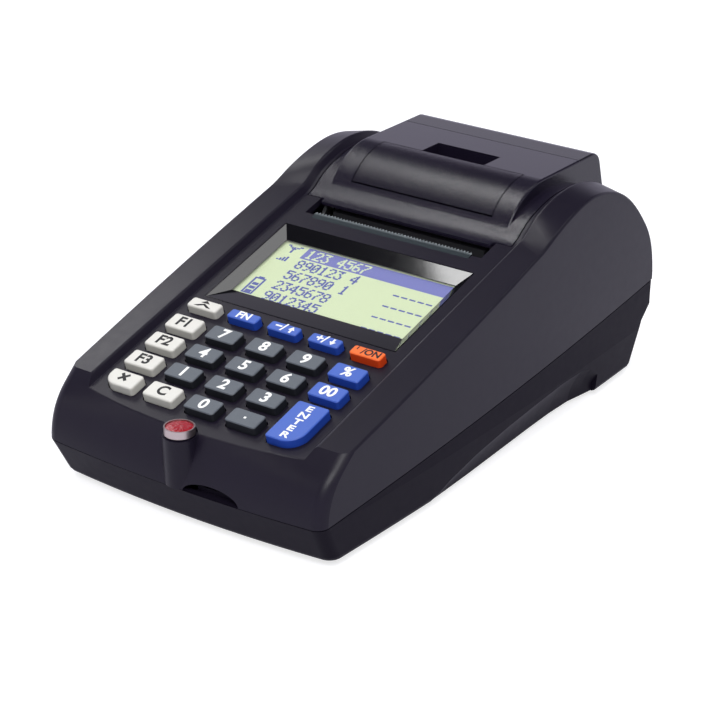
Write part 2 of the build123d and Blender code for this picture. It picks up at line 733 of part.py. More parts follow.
def base_shell():
    form = base_form(0, 0) & below_parting(0)
    form -= both_sides(scoop(0))
    rim = base_form(0, 0) - base_form(groove, base_floor)
    form -= rim & (below_parting(0) - below_parting(groove))
    hollow = base_form(shell_wall, base_floor) - both_sides(scoop(shell_wall))
    shell = form - hollow

    lip_band = below_parting(-lip_height) - below_parting(lip_height)
    lip_outer = base_form(shell_wall + lip_gap, base_floor)
    ring = (lip_outer - base_form(shell_wall + lip_gap + lip_width, base_floor)) & lip_band
    foot_band = below_parting(0) - below_parting(lip_height)
    ring += (base_form(shell_wall, base_floor) - lip_outer) & foot_band
    boss_clear = seal_boss_foot_radius + lip_gap * 2
    ring -= block((-boss_clear, -overlap, 0), (boss_clear, front_screw_y, ceiling_z))
    shell += ring

    for x, y in screw_places():
        shell += post(screw_boss_radius, x, y, base_z + base_floor / 2, boss_joint_z)
    shell += post(seal_post_radius, 0, seal_y, boss_joint_z + overlap, seal_post_z)
    for x in (-standoff_x, standoff_x):
        for y in (main_board_front_y + standoff_radius * 3, main_board_rear_y - standoff_radius * 2):
            shell += post(standoff_radius, x, y, base_z + base_floor / 2, main_board_z)
    for x in (-io_board_half_width, io_board_half_width):
        for y in (io_board_front_y + io_board_post, socket_face_y - io_board_post * 2):
            inward = x - io_board_post if x > 0 else x + io_board_post
            shell += post(io_board_post / 2, inward, y, base_z + base_floor / 2, io_board_z)

    for x, y in screw_places():
        seat = floor_z + bezel_gap * 4
        shell -= post(screw_radius + screw_clearance, x, y, 0, ceiling_z)
        shell -= post(screw_head_radius + socket_gap, x, y, 0, seat)
    shell -= post(screw_radius + screw_clearance, 0, seal_y, seal_boss_z - screw_length, ceiling_z)
    for x, size in ((power_socket_x, power_socket_size), (data_socket_x, data_socket_size)):
        low_z = io_board_z + board_thickness
        wide = size[0] / 2 + socket_gap
        shell -= block((x - wide, socket_face_y - size[1] / 2, low_z - socket_gap),
                       (x + wide, body_length + overlap, low_z + size[2] + socket_gap))
    return shell


def rubber_feet():
    return [post(foot_radius, x, y, 0, base_z)
            for x in (-foot_x, foot_x) for y in (front_foot_y, rear_foot_y)]


def screw(x, y, seat_z, up):
    """A pan-head screw with its head's seat at seat_z, pointing up or down."""
    sign = 1 if up else -1
    head_low = seat_z - screw_head_height if up else seat_z
    head = post(screw_head_radius, x, y, head_low, head_low + screw_head_height)
    ends = sorted((seat_z, seat_z + sign * screw_length))
    slot = block((x - 0.4, y - 2.0, 0), (x + 0.4, y + 2.0, 0.7))
    slot = Pos(0, 0, head_low if up else head_low + screw_head_height - 0.7) * slot
    return head + post(screw_radius, x, y, *ends) - slot


def case_screws():
    seat = floor_z + bezel_gap * 4
    screws = [screw(x, y, seat, True) for x, y in screw_places()]
    return screws + [screw(0, seal_y, seal_boss_z + seal_cup_wall, False)]


def seal_cup():
    cup = post(seal_cup_radius, 0, seal_y, seal_boss_z, seal_boss_z + seal_cup_height)
    cup -= post(seal_cup_radius - seal_cup_wall, 0, seal_y, seal_boss_z + seal_cup_wall, ceiling_z)
    return cup - post(screw_radius + screw_clearance, 0, seal_y, 0, ceiling_z)


def seal_wax():
    low = seal_boss_z + seal_cup_wall
    wax = post(seal_cup_radius - seal_cup_wall - skin, 0, seal_y, low,
               seal_boss_z + seal_cup_height - seal_wax_below_rim)
    return wax - post(screw_head_radius, 0, seal_y, low - overlap, low + screw_head_height)


# ---------------------------------------------------------------- gears
def gear_outline(teeth, turn):
    """Involute gear outline, with a tooth's middle at angle turn (degrees)."""
    pitch_radius = gear_module * teeth / 2
    base_radius = pitch_radius * cos(radians(pressure_angle))
    tip_radius = pitch_radius + module_tip * gear_module
    root_radius = pitch_radius - module_root * gear_module
    start_radius = max(base_radius, root_radius)
    half_tooth = (pi * gear_module / 2 - gear_backlash) / 2 / pitch_radius
    alpha = radians(pressure_angle)
    half_base = half_tooth + tan(alpha) - alpha
    steps = 3
    flank = []
    for i in range(steps + 1):
        radius = start_radius + (tip_radius - start_radius) * i / steps
        roll = acos(min(1.0, base_radius / radius))
        flank.append((radius, half_base - (tan(roll) - roll)))
    points = []
    for tooth in range(teeth):
        middle = radians(turn) + 2 * pi * tooth / teeth
        side = [(root_radius, half_base)] + flank
        ring = [(r, -a) for r, a in side] + [(r, a) for r, a in reversed(side)]
        points += [(r * cos(middle + a), r * sin(middle + a)) for r, a in ring]
    return make_face(Polyline(*points, points[0]))


def gear(teeth, turn, y, z, bore):
    face = gear_outline(teeth, turn) - (Circle(bore) if bore else [])
    return extrude(side_view.offset(gear_x) * (Pos(y, z) * face), gear_width)


def gear_turns():
    """Angle of one tooth of each gear, so that the train is in mesh at rest."""
    platen = -90.0
    idler = 90.0 + 180.0 / idler_teeth
    toward_pinion = (pinion_direction - idler) * idler_teeth / 360.0
    part = toward_pinion - int(toward_pinion)
    pinion = pinion_direction + 180.0 + (0.5 + part) * 360.0 / pinion_teeth
    return platen, idler, pinion


# ---------------------------------------------------------------- printer
def printer_frame():
    """Pressed-steel channel with notched side plates, the idler's stud and the catch pins."""
    out = plate_x + plate_thickness
    frame = block((-out, frame_y, frame_z), (out, frame_rear_y, frame_z + plate_thickness))
    frame += block((-out, frame_y, frame_z), (out, frame_y + plate_thickness, frame_z + frame_front_height))
    front_top = frame_z + frame_front_height
    cheek = [(frame_y, frame_z), (frame_rear_y, frame_z), (frame_rear_y, catch_z),
             (frame_rear_y - 1, catch_z + 2 * catch_radius), (platen_y + 1, catch_z + 2 * catch_radius),
             (platen_y - notch_half_width, platen_z + 4.5), (platen_y - 5, platen_z + 3.4),
             (platen_y - 7, head_top_z), (platen_y - 9, front_top), (frame_y, front_top)]
    side = side_prism(cheek, plate_x, out)
    side -= rod(notch_half_width, platen_y, platen_z, plate_x - overlap, out + overlap)
    side -= block((plate_x - overlap, platen_y - notch_half_width, platen_z),
                  (out + overlap, platen_y + notch_half_width, ceiling_z))
    side += rod(catch_radius, catch_y, catch_z, hook_x, plate_x + overlap / 2)
    frame += both_sides(side)
    frame += rod(idler_stud_radius, idler_y, idler_z, out - overlap / 2, gear_x + gear_width + overlap / 2)
    frame -= rod(motor_shaft_radius + socket_gap, pinion_y, pinion_z, plate_x - overlap, out + overlap)
    return frame


def print_head():
    """Thermal head: carrier plate with side tabs and the heated strip in front of the platen."""
    face_y = platen_y - platen_radius - head_gap
    strip = head_thickness / 4
    half = paper_width / 2 + ear_gap
    low = head_top_z - head_height
    head = block((-half, face_y - head_thickness, low), (half, face_y - strip, head_top_z))
    head += block((-half, face_y - head_thickness, low), (half, face_y, head_top_z - head_height / 2))
    head -= block((-half - 1, face_y - strip, low - 1),
                  (half + 1, face_y + 1, head_top_z - head_height * 0.7))
    head += block((-half, face_y - strip * 2, platen_z - 3), (half, face_y, head_top_z))
    head += block((-plate_x, face_y - head_thickness, low), (plate_x, face_y - strip, low + head_tab_height))
    return head


def head_spring():
    """Leaf spring that presses the head towards the platen."""
    front = frame_y + plate_thickness
    back = platen_y - platen_radius - head_gap - head_thickness
    low, high = frame_z + frame_front_height - 11, head_top_z - head_height + 6
    points = [(front, low), (front + spring_strip, low), (front + spring_strip, low + 4),
              (back, high), (back, high + 2), (back - spring_strip, high + 2),
              (back - spring_strip, high + 0.4), (front, low + 4.4)]
    return side_prism(points, -12.0, 12.0)


def tear_bar():
    """Serrated bar on the front edge of the paper slot."""
    teeth = int(tear_bar_width / tooth_pitch)
    width = teeth * tooth_pitch
    points = [(-width / 2, 0), (width / 2, 0), (width / 2, tear_bar_depth - tooth_depth)]
    for i in range(teeth):
        right = width / 2 - i * tooth_pitch
        points.append((right - tooth_pitch / 2, tear_bar_depth))
        points.append((right - tooth_pitch, tear_bar_depth - tooth_depth))
    lean = radians(tear_bar_slope)
    blade_plane = Plane(origin=(0, tear_bar_y, tear_z), x_dir=(1, 0, 0), z_dir=(0, -sin(lean), cos(lean)))
    blade = extrude(blade_plane * make_face(Polyline(*points, points[0])), -tear_bar_thickness)
    rail = block((-width / 2, tear_bar_y, tear_z - tear_bar_flange),
                 (width / 2, tear_bar_y + tear_bar_thickness, tear_z))
    trim = blade_plane * Pos(0, 0, tear_bar_thickness) * Box(tear_bar_width * 2, tear_bar_depth * 4,
                                                           tear_bar_thickness * 2)
    return (blade + rail) - trim - block((-width, tear_bar_y - 9, 0), (width, tear_bar_y, ceiling_z))


def stepper_motor():
    low = plate_x - motor_length
    motor = rod(motor_radius, pinion_y, pinion_z, low, plate_x)
    motor += rod(motor_radius * 0.6, pinion_y, pinion_z, low - 1, low)
    return motor - rod(motor_shaft_radius + running_gap, pinion_y, pinion_z, low + 4, plate_x + overlap)


def platen_shaft():
    out = plate_x + plate_thickness
    return rod(platen_shaft_radius, platen_y, platen_z, -out - 0.4, gear_x + gear_width)


def platen_roller():
    half = paper_width / 2
    return tube(platen_radius, platen_shaft_radius + fit_gap, platen_y, platen_z, -half, half)


def platen_bushes():
    radius = platen_shaft_radius + bush_wall
    bore = platen_shaft_radius + running_gap
    right = tube(radius, bore, platen_y, platen_z, ear_x, ear_x + ear_thickness)
    return [right, mirror(right, Plane.YZ)]


def motor_pinion():
    pinion = gear(pinion_teeth, gear_turns()[2], pinion_y, pinion_z, 0)
    low = plate_x - motor_length + 6
    return pinion + rod(motor_shaft_radius, pinion_y, pinion_z, low, gear_x + overlap / 2)


def paper_bay():
    """Drop-in bay: a trough for the roll between two end walls, a deck and the printer's shelf."""
    inner = roll_radius + roll_gap
    outer = inner + bay_wall
    half = paper_width / 2 + roll_gap
    trough = rod(outer, bay_y, bay_z, -half, half) - rod(inner, bay_y, bay_z, -half - 1, half + 1)
    trough -= block((-body_width, 0, bay_z), (body_width, body_length, ceiling_z))
    shelf_y = frame_y - bay_wall / 2
    front_wall_y = bay_y - outer
    end_wall = block((half, front_wall_y, floor_z), (half + bay_wall, bay_y + outer - roll_gap, bay_z))
    end_wall -= block((half - 1, bay_y - inner * 0.7, floor_z - 1),
                      (half + bay_wall + 1, bay_y + outer, io_board_z + power_socket_size[2] + 6))
    deck = block((half, front_wall_y + bay_wall, bay_z - bay_wall),
                 (bay_deck_half_width, bay_deck_rear_y, bay_z))
    leg = block((bay_leg_x - bay_wall, shelf_y, floor_z), (bay_leg_x, front_wall_y + bay_wall, frame_z))
    bay = trough + both_sides(end_wall + deck + leg)
    bay += block((-bay_leg_x, shelf_y, frame_z - bay_wall), (bay_leg_x, front_wall_y + bay_wall, frame_z))
    bay += block((-half, front_wall_y, frame_z - bay_wall), (half, front_wall_y + bay_wall, bay_z))
    return bay - rod(inner, bay_y, bay_z, -half, half)


# ---------------------------------------------------------------- paper cover
def hood_outline(inset):
    """Side outline of the raised hood with its lip, inset for its hollow."""
    radius = hood_front_radius - inset
    centre = (hood_crest_y, hood_top_z - hood_front_radius)
    fall = slope_sin / slope_cos
    below = (panel_nose_height + centre[0] * fall - centre[1]) * slope_cos - inset
    along = sqrt(radius ** 2 - below ** 2)
    foot = (centre[0] - slope_sin * below - slope_cos * along,
            centre[1] + slope_cos * below - slope_sin * along)
    front_y = lip_front_y - inset
    front = (front_y, foot[1] - (foot[0] - front_y) * fall)
    bend = (centre[0] - radius * cos(pi / 4), centre[1] + radius * sin(pi / 4))
    crest = (centre[0], centre[1] + radius)
    lean = radians(hood_rear_lean)
    rear_top = (hood_rear_y - inset / sin(lean) + inset / tan(lean), crest[1])
    rear_foot = (rear_top[0] + (rear_top[1] - hinge_z) / tan(lean), hinge_z)
    low = (front_y, platen_z)
    outline = make_face(Line(front, foot) + ThreePointArc(foot, bend, crest)
                        + Polyline(crest, rear_top, rear_foot, (hinge_y - 4, hinge_z),
                                   (platen_y, platen_z), low, front))
    near_foot = outline.vertices().sort_by(lambda v: abs(v.X - foot[0]) + abs(v.Y - foot[1]))[:1]
    outline = fillet(near_foot, lip_round + inset)
    corner = outline.vertices().sort_by(lambda v: abs(v.X - rear_top[0]) + abs(v.Y - rear_top[1]))[:1]
    return fillet(corner, max(hood_corner - inset, 0.3))


def above_rim():
    """Everything above the cover's lower rim, from the lip to the hinge."""
    rim = [(lip_front_y - 6, lip_rim_z), (platen_y, lip_rim_z), (hinge_y - 8, hinge_z + 0.5),
           (hinge_y + 12, hinge_z + 0.5), (hinge_y + 12, ceiling_z), (lip_front_y - 6, ceiling_z)]
    return side_prism(rim, -body_width, body_width)


def flank_form(inset):
    """The flanks beside the hood, in line with the bed, from the lip's ends to the hinge."""
    half = cover_half_width - inset
    strip = extrude(side_view.offset(-half) * bed_profile(inset), 2 * half)
    return strip & block((-half, lip_end_y + inset, lip_rim_z - 8), (half, hinge_y, ceiling_z))


def ear():
    """The web that carries the platen's bush and the latch shaft on one side."""
    low, high = ear_x, ear_x + ear_thickness
    bush = platen_shaft_radius + bush_wall
    web = [(platen_y - 4.5, platen_z), (platen_y + 4.5, platen_z), (latch_y + 5, latch_z),
           (latch_y + 8, hood_top_z), (latch_y - 10, hood_top_z)]
    hood = extrude(side_view.offset(low) * hood_outline(0), ear_thickness)
    return (side_prism(web, low, high) & hood) + rod(bush + bay_wall, platen_y, platen_z, low, high)


def hood_edges(solid):
    """The long top edges of the hood's two sides."""
    return [e for e in solid.edges() if on_edge(e, hood_half_width, 0.02) and (e @ 0.5).Z > latch_z]


def paper_cover():
    hood = extrude(side_view.offset(-hood_half_width) * hood_outline(0), 2 * hood_half_width)
    hood = fillet(hood_edges(hood), hood_edge_round)
    half = cover_half_width
    outer = hood + flank_form(0)
    hood_room = extrude(side_view.offset(hood_wall - hood_half_width) * hood_outline(hood_wall),
                        2 * (hood_half_width - hood_wall))
    cover = (outer - (hood_room + flank_form(cover_wall))) & above_rim()

    cover += both_sides(ear())
    cover += rod(barrel_radius, hinge_y, hinge_z, -half + socket_gap, half - socket_gap)
    for x in (-knuckle_x, knuckle_x):
        wide = knuckle_width / 2 + knuckle_gap
        cover -= rod(barrel_radius + barrel_gap + bezel_gap, hinge_y, hinge_z, x - wide, x + wide)
    cover -= rod(hinge_pin_radius + running_gap, hinge_y, hinge_z, -half, half)

    tab = lip_tab_half_width
    for low, high in ((-half - 1, -tab), (tab, half + 1)):
        cover -= block((low, 0, 0), (high, lip_end_y, ceiling_z))
    pocket = finger_pocket(bay_wall)
    cover += pocket & hood
    cover -= finger_pocket(0)
    cover -= flap_window()
    bore = platen_shaft_radius + bush_wall + fit_gap
    for low, high in ((-half + cover_wall + overlap, 0), (0, half - cover_wall - overlap)):
        cover -= rod(bore, platen_y, platen_z, low, high)
        cover -= rod(latch_shaft_radius + running_gap, latch_y, latch_z, low, high)
    return cover


def finger_pocket(wall):
    """Room behind the flap's top edge for a fingertip."""
    half = finger_slot_half_width + wall
    front = hood_crest_y + (flap_gap if wall else -overlap)
    return block((-half, front, hood_top_z - finger_slot_depth - wall),
                 (half, finger_slot_rear_y + wall, hood_top_z + (0 if wall else overlap)))


def flap_bottom():
    """Place of the flap's lower edge: just above the point where the lip's sweep leaves the round front."""
    panel_z = panel_nose_height + hood_crest_y * slope_sin / slope_cos
    below = (panel_z - hood_top_z + hood_front_radius) * slope_cos
    reach = hood_front_radius + lip_round
    along = sqrt(reach ** 2 - (below + lip_round) ** 2)
    share = hood_front_radius / reach
    y = hood_crest_y + (-slope_sin * (below + lip_round) - slope_cos * along) * share
    z = hood_top_z - hood_front_radius + (slope_cos * (below + lip_round) - slope_sin * along) * share
    return y + flap_gap, z + flap_gap


def flap_ring(inner, outer, half):
    """The hood's round front between two depths, from its crest down to the lip."""
    centre = (hood_crest_y, hood_top_z - hood_front_radius)
    return tube(hood_front_radius + outer, hood_front_radius - hood_wall + inner, *centre, -half, half)


def flap_window():
    """The opening that the flap lies in, with room for its lower edge to swing."""
    y, z = flap_bottom()
    half = flap_half_width + flap_gap
    ring = flap_ring(-flap_gap * 6, overlap, half)
    return ring & block((-half, y - flap_gap, z - flap_swing_room),
                        (half, hood_crest_y + flap_gap, ceiling_z))


def release_flap():
    """Curved flap in the hood's front with two cheeks on the latch shaft."""
    centre = (hood_crest_y, hood_top_z - hood_front_radius)
    foot = flap_bottom()
    reach = [centre[i] + (foot[i] - centre[i]) * 2 for i in (0, 1)]
    keep = [centre, (centre[0], ceiling_z), (reach[0], ceiling_z), tuple(reach)]
    flap = flap_ring(0, 0, flap_half_width) & side_prism(keep, -flap_half_width, flap_half_width)
    low = flap_half_width - cheek_thickness
    cheek = rod(cheek_radius, latch_y, latch_z, low, flap_half_width)
    web = [(latch_y - cheek_radius * 0.8, latch_z + 0.8), (latch_y + 1.6, latch_z - 1.2),
           (latch_y + 7, latch_z + 3), (latch_y + 3.5, latch_z + 5.2)]
    inside = rod(hood_front_radius - hood_wall / 2, *centre, low, flap_half_width)
    cheek += side_prism(web, low, flap_half_width) & inside
    flap += both_sides(cheek)
    bore = latch_shaft_radius + fit_gap
    return flap - rod(bore, latch_y, latch_z, -flap_half_width - 1, flap_half_width + 1)


def latch_shaft():
    """Steel shaft with a hook at each end."""
    end = hook_x + hook_thickness
    shaft = rod(latch_shaft_radius, latch_y, latch_z, -end, end)
    front = catch_y + catch_radius + catch_gap
    arm = [(latch_y - hook_eye, latch_z), (latch_y + hook_eye, latch_z), (front + 2.4, catch_z + 1.0),
           (front + 2.2, catch_z - 2.6), (front, catch_z - 1.4), (front, catch_z + 1.6)]
    hook = rod(hook_eye, latch_y, latch_z, hook_x, end) + side_prism(arm, hook_x, end)
    return shaft + both_sides(hook)


def latch_spring():
    """Torsion coils on the latch shaft: one leg under the hood, the other behind the flap's cheek."""
    wire = 2 * spring_strip
    low, high = flap_half_width + flap_gap, ear_x - spring_strip
    bore = latch_shaft_radius + running_gap
    coil = tube(bore + wire, bore, latch_y, latch_z, low, high)
    up = block((high - wire, latch_y + bore, latch_z), (high, latch_y + bore + wire, latch_z + 3.3))
    back = block((low, latch_y, latch_z - bore - wire),
                 (low + wire, latch_y + bore + 4 * wire, latch_z - bore))
    inward = block((low - 3 * wire, latch_y + bore + 3 * wire, latch_z - bore - wire),
                   (low + wire, latch_y + bore + 4 * wire, latch_z - bore))
    right = coil + up + back + inward
    return [right, mirror(right, Plane.YZ)]


def hinge_pin():
    half = cover_half_width - cover_side_gap
    return rod(hinge_pin_radius, hinge_y, hinge_z, -half, half)


# ---------------------------------------------------------------- electronics
def battery_pack():
    """Two round cells side by side in a shrink sleeve."""
    radius = battery_cell_radius
    centre_z = floor_z + radius
    outline = Pos(battery_y, centre_z) * Rectangle(2 * radius, 2 * radius)
    for side in (-1, 1):
        outline += Pos(battery_y + side * radius, centre_z) * Circle(radius)
    return extrude(side_view.offset(-battery_length / 2) * outline, battery_length)


def main_board():
    half = main_board_half_width
    board = block((-half, main_board_front_y, main_board_z),
                  (half, main_board_rear_y, main_board_z + board_thickness))
    corner = screw_boss_radius * 2 + 1
    for x in (-half, half - corner):
        board -= block((x, main_board_front_y - 1, 0), (x + corner, front_screw_y + corner / 2, ceiling_z))
    return board


def card_place(grow):
    """The memory card, or the room round it."""
    width, length, thickness = card_size
    return block((mouth_x - width / 2 - grow, card_y - grow, card_z - grow),
                 (mouth_x + width / 2 + grow, card_y + length + grow, card_z + thickness + grow))


def card_socket():
    width, length, thickness = card_size
    wall = 1.2
    body = block((mouth_x - width / 2 - wall, main_board_front_y, main_board_z + board_thickness),
                 (mouth_x + width / 2 + wall, card_y + length + wall, card_z + thickness + wall))
    return body - card_place(card_clearance)


def fiscal_memory():
    width, depth, height = fiscal_block
    block_form = block((-width / 2, fiscal_y - depth / 2, floor_z),
                       (width / 2, fiscal_y + depth / 2, floor_z + height))
    return chamfer(block_form.edges().group_by(Axis.Z)[-1], 0.8)


def io_board():
    half = io_board_half_width
    return block((-half, io_board_front_y, io_board_z),
                 (half, socket_face_y - io_board_post, io_board_z + board_thickness))


def power_socket():
    low_z = io_board_z + board_thickness
    width, depth, height = power_socket_size
    x = power_socket_x
    body = block((x - width / 2, socket_face_y - depth, low_z),
                 (x + width / 2, socket_face_y, low_z + height))
    axis = Plane.XZ.offset(-socket_face_y) * Pos(x, low_z + height / 2)
    body -= extrude(axis * Circle(power_bore_radius), depth - 3)
    return body + extrude(axis * Pos(0, 0, 1) * Circle(power_pin_radius), depth - 3)


def data_socket():
    low_z = io_board_z + board_thickness
    width, depth, height = data_socket_size
    x = data_socket_x
    body = block((x - width / 2, socket_face_y - depth, low_z),
                 (x + width / 2, socket_face_y, low_z + height))
    mouth_low = low_z + (height - data_mouth[2]) / 2
    return body - block((x - data_mouth[0] / 2, socket_face_y - data_mouth[1], mouth_low),
                        (x + data_mouth[0] / 2, socket_face_y + overlap, mouth_low + data_mouth[2]))


# ---------------------------------------------------------------- writing
def every_node():
    """Name and solids of every piece."""
    turns = gear_turns()
    nodes = {
        "base_shell": base_shell(), "upper_shell": upper_shell(), "rubber_feet": rubber_feet(),
        "case_screws": case_screws(), "seal_cup": seal_cup(), "seal_wax": seal_wax(),
        "display_bezel": display_bezel(), "display_window": display_window(), "lcd_module": lcd_module(),
        "key_mat": key_mat(), "keypad_board": keypad_board(), "main_board": main_board(),
        "battery_pack": battery_pack(), "fiscal_memory": fiscal_memory(), "io_board": io_board(),
        "power_socket": power_socket(), "data_socket": data_socket(), "card_socket": card_socket(),
        "memory_card": card_place(0), "printer_frame": printer_frame(), "print_head": print_head(),
        "head_spring": head_spring(), "tear_bar": tear_bar(), "stepper_motor": stepper_motor(),
        "motor_pinion": motor_pinion(),
        "idler_gear": gear(idler_teeth, turns[1], idler_y, idler_z, idler_stud_radius + running_gap),
        "platen_gear": gear(platen_teeth, turns[0], platen_y, platen_z, platen_shaft_radius + fit_gap),
        "platen_shaft": platen_shaft(), "platen_roller": platen_roller(), "platen_bushes": platen_bushes(),
        "paper_bay": paper_bay(), "paper_cover": paper_cover(), "hinge_pin": hinge_pin(),
        "release_flap": release_flap(), "latch_shaft": latch_shaft(), "latch_spring": latch_spring(),
    }
    for name, column, s, size, soft, odd_corner in key_list():
        nodes[name] = key(column, s, size, soft, odd_corner)
    return nodes


for node_name, shape in every_node().items():
    pieces = shape if isinstance(shape, list) else [shape]
    solids = [solid for piece in pieces for solid in piece.solids()]
    placed = Pos(0, -middle_y, 0) * Compound(children=solids)
    export_step(placed, f"parts/{node_name}.step")
    print(node_name, len(solids), round(sum(solid.volume for solid in solids), 1))
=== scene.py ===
"""Looks of a portable ticket register: moulded housing, keypad, display, cover and sealed screw.

Everything is in metres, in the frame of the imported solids: +Z up, +Y from the nose to the rear,
origin on the table under the middle of the body. Sizes of pieces are written in millimetres.
"""
import math

import bpy
from mathutils import Matrix, Vector


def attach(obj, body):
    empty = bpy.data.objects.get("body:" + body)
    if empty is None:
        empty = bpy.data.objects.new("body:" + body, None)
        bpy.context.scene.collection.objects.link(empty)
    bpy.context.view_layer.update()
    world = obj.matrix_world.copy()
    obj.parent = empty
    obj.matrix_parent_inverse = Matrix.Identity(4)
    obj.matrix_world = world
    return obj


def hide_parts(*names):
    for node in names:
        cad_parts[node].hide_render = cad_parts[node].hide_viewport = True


MM = 0.001
NOSE_LINE = -95.002        # mm, where the body's zero line at the nose lies along Y
PANEL_SLOPE = 15.7         # degrees, keypad and display panel
PANEL_NOSE_HEIGHT = 29.72  # mm, height of the panel's plane at the nose
KEY_TOP = 2.6              # mm, key tops above the panel
PRINT_LIFT = 0.012         # mm, printed legends above the surface that carries them
PRINT_DEPTH = 0.03         # mm, thickness of a printed legend
HOOD_TOP = 76.5            # mm, level top of the cover's hood
BAND_START, BAND_END = 165.3, 172.9     # mm from the nose line, the plain band across the hood's top
BAND_HALF_WIDTH = 38.5     # mm
BAND_LINE = 0.4            # mm, the dull line along the band's front edge
TOOTH_TIP = 61.07          # mm, tips of the tear bar's teeth
TOOTH_LIGHTER = (0.6, 0.1)    # mm below the tips, where the lighter tip colour begins and is full
TOP_BLEND = (0.5, 0.1)     # mm below the hood's top, where its finish begins and is full
TOP_GRAIN = 0.08           # share of the mould grain that is left on the hood's top
LINE_ROUGHNESS = 0.9       # of the dull line
CAP_BLEND = (0.4, 0.1)     # mm below a key's top, where its lighter face colour begins and is full; the darker side colour below it is painted shade
CAP_GRAIN = (2.2, 0.01)    # speckles per mm on a key, and their depth in mm
CAP_WEAR = 0.06            # spread of a key's roughness
MESH_SCALE = 1 / MM        # object coordinates to millimetres

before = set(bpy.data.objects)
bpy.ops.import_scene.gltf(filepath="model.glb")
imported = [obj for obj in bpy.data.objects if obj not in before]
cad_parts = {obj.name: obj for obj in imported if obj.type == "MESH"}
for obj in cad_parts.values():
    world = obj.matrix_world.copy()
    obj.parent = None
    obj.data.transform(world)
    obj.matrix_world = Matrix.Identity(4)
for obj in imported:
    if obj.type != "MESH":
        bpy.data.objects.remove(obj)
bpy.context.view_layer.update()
bpy.ops.object.select_all(action="DESELECT")


# ---------------------------------------------------------------- frames and small helpers
def linear(hex_colour):
    """An sRGB hex colour as linear RGBA."""
    parts = [int(hex_colour[i:i + 2], 16) / 255 for i in (1, 3, 5)]
    return tuple(c / 12.92 if c <= 0.04045 else ((c + 0.055) / 1.055) ** 2.4 for c in parts) + (1.0,)


def body_point(x, y, z):
    """A point given in millimetres from the nose line, as a place in the scene."""
    return Vector((x, y + NOSE_LINE, z)) * MM


def panel_matrix(x, s, h):
    """Places a drawing on the sloped panel: s runs up the slope, h stands off the panel."""
    lean = math.radians(PANEL_SLOPE)
    up_slope = Vector((0, math.cos(lean), math.sin(lean)))
    normal = Vector((0, -math.sin(lean), math.cos(lean)))
    place = body_point(x, 0, PANEL_NOSE_HEIGHT) + (up_slope * s + normal * h) * MM
    turn = Matrix((Vector((1, 0, 0)), up_slope, normal)).transposed().to_4x4()
    return Matrix.Translation(place) @ turn


def pick(obj):
    """Makes obj the only selected and active object."""
    bpy.ops.object.select_all(action="DESELECT")
    obj.select_set(True)
    bpy.context.view_layer.objects.active = obj


def settle(obj, matrix, name, material, body):
    """Puts a finished piece in place through its mesh, paints it and lets it ride on a body."""
    obj.data.transform(matrix)
    obj.matrix_world = Matrix.Identity(4)
    obj.name = name
    obj.data.name = name
    obj.data.materials.clear()
    obj.data.materials.append(material)
    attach(obj, body)
    return obj


def join(objects):
    """Joins drawings into the first one."""
    pick(objects[0])
    for obj in objects:
        obj.select_set(True)
    bpy.ops.object.join()
    return bpy.context.object


def thicken(obj, depth):
    """Gives a flat drawing its thickness, upwards from its plane."""
    pick(obj)
    bpy.ops.object.mode_set(mode="EDIT")
    bpy.ops.mesh.select_all(action="SELECT")
    bpy.ops.mesh.extrude_region_move(TRANSFORM_OT_translate={"value": (0, 0, depth)})
    bpy.ops.mesh.select_all(action="SELECT")
    bpy.ops.mesh.normals_make_consistent(inside=False)
    bpy.ops.object.mode_set(mode="OBJECT")
    return obj


def select_vertices(obj, wanted):
    """Selects the vertices of an object in edit mode by their place."""
    bpy.ops.object.mode_set(mode="OBJECT")
    for vertex in obj.data.vertices:
        vertex.select = wanted(vertex.co)
    bpy.ops.object.mode_set(mode="EDIT")


def add(tree, kind, inputs=None, **settings):
    """Adds one node with its settings; inputs gives socket values or the outputs that feed them."""
    node = tree.nodes.new(kind)
    for key, value in settings.items():
        setattr(node, key, value)
    for key, value in (inputs or {}).items():
        if isinstance(value, bpy.types.NodeSocket):
            tree.links.new(value, node.inputs[key])
        else:
            node.inputs[key].default_value = value
    return node


# ---------------------------------------------------------------- materials
def surface(name):
    """An empty material with its output, its shader and object coordinates in millimetres."""
    material = bpy.data.materials.new(name)
    material.use_nodes = True
    tree = material.node_tree
    tree.nodes.clear()
    output = add(tree, "ShaderNodeOutputMaterial")
    shader = add(tree, "ShaderNodeBsdfPrincipled")
    tree.links.new(shader.outputs["BSDF"], output.inputs["Surface"])
    coords = add(tree, "ShaderNodeTexCoord")
    scaled = add(tree, "ShaderNodeMapping", {"Vector": coords.outputs["Object"], "Scale": (MESH_SCALE,) * 3})
    return material, tree, shader, scaled.outputs["Vector"]


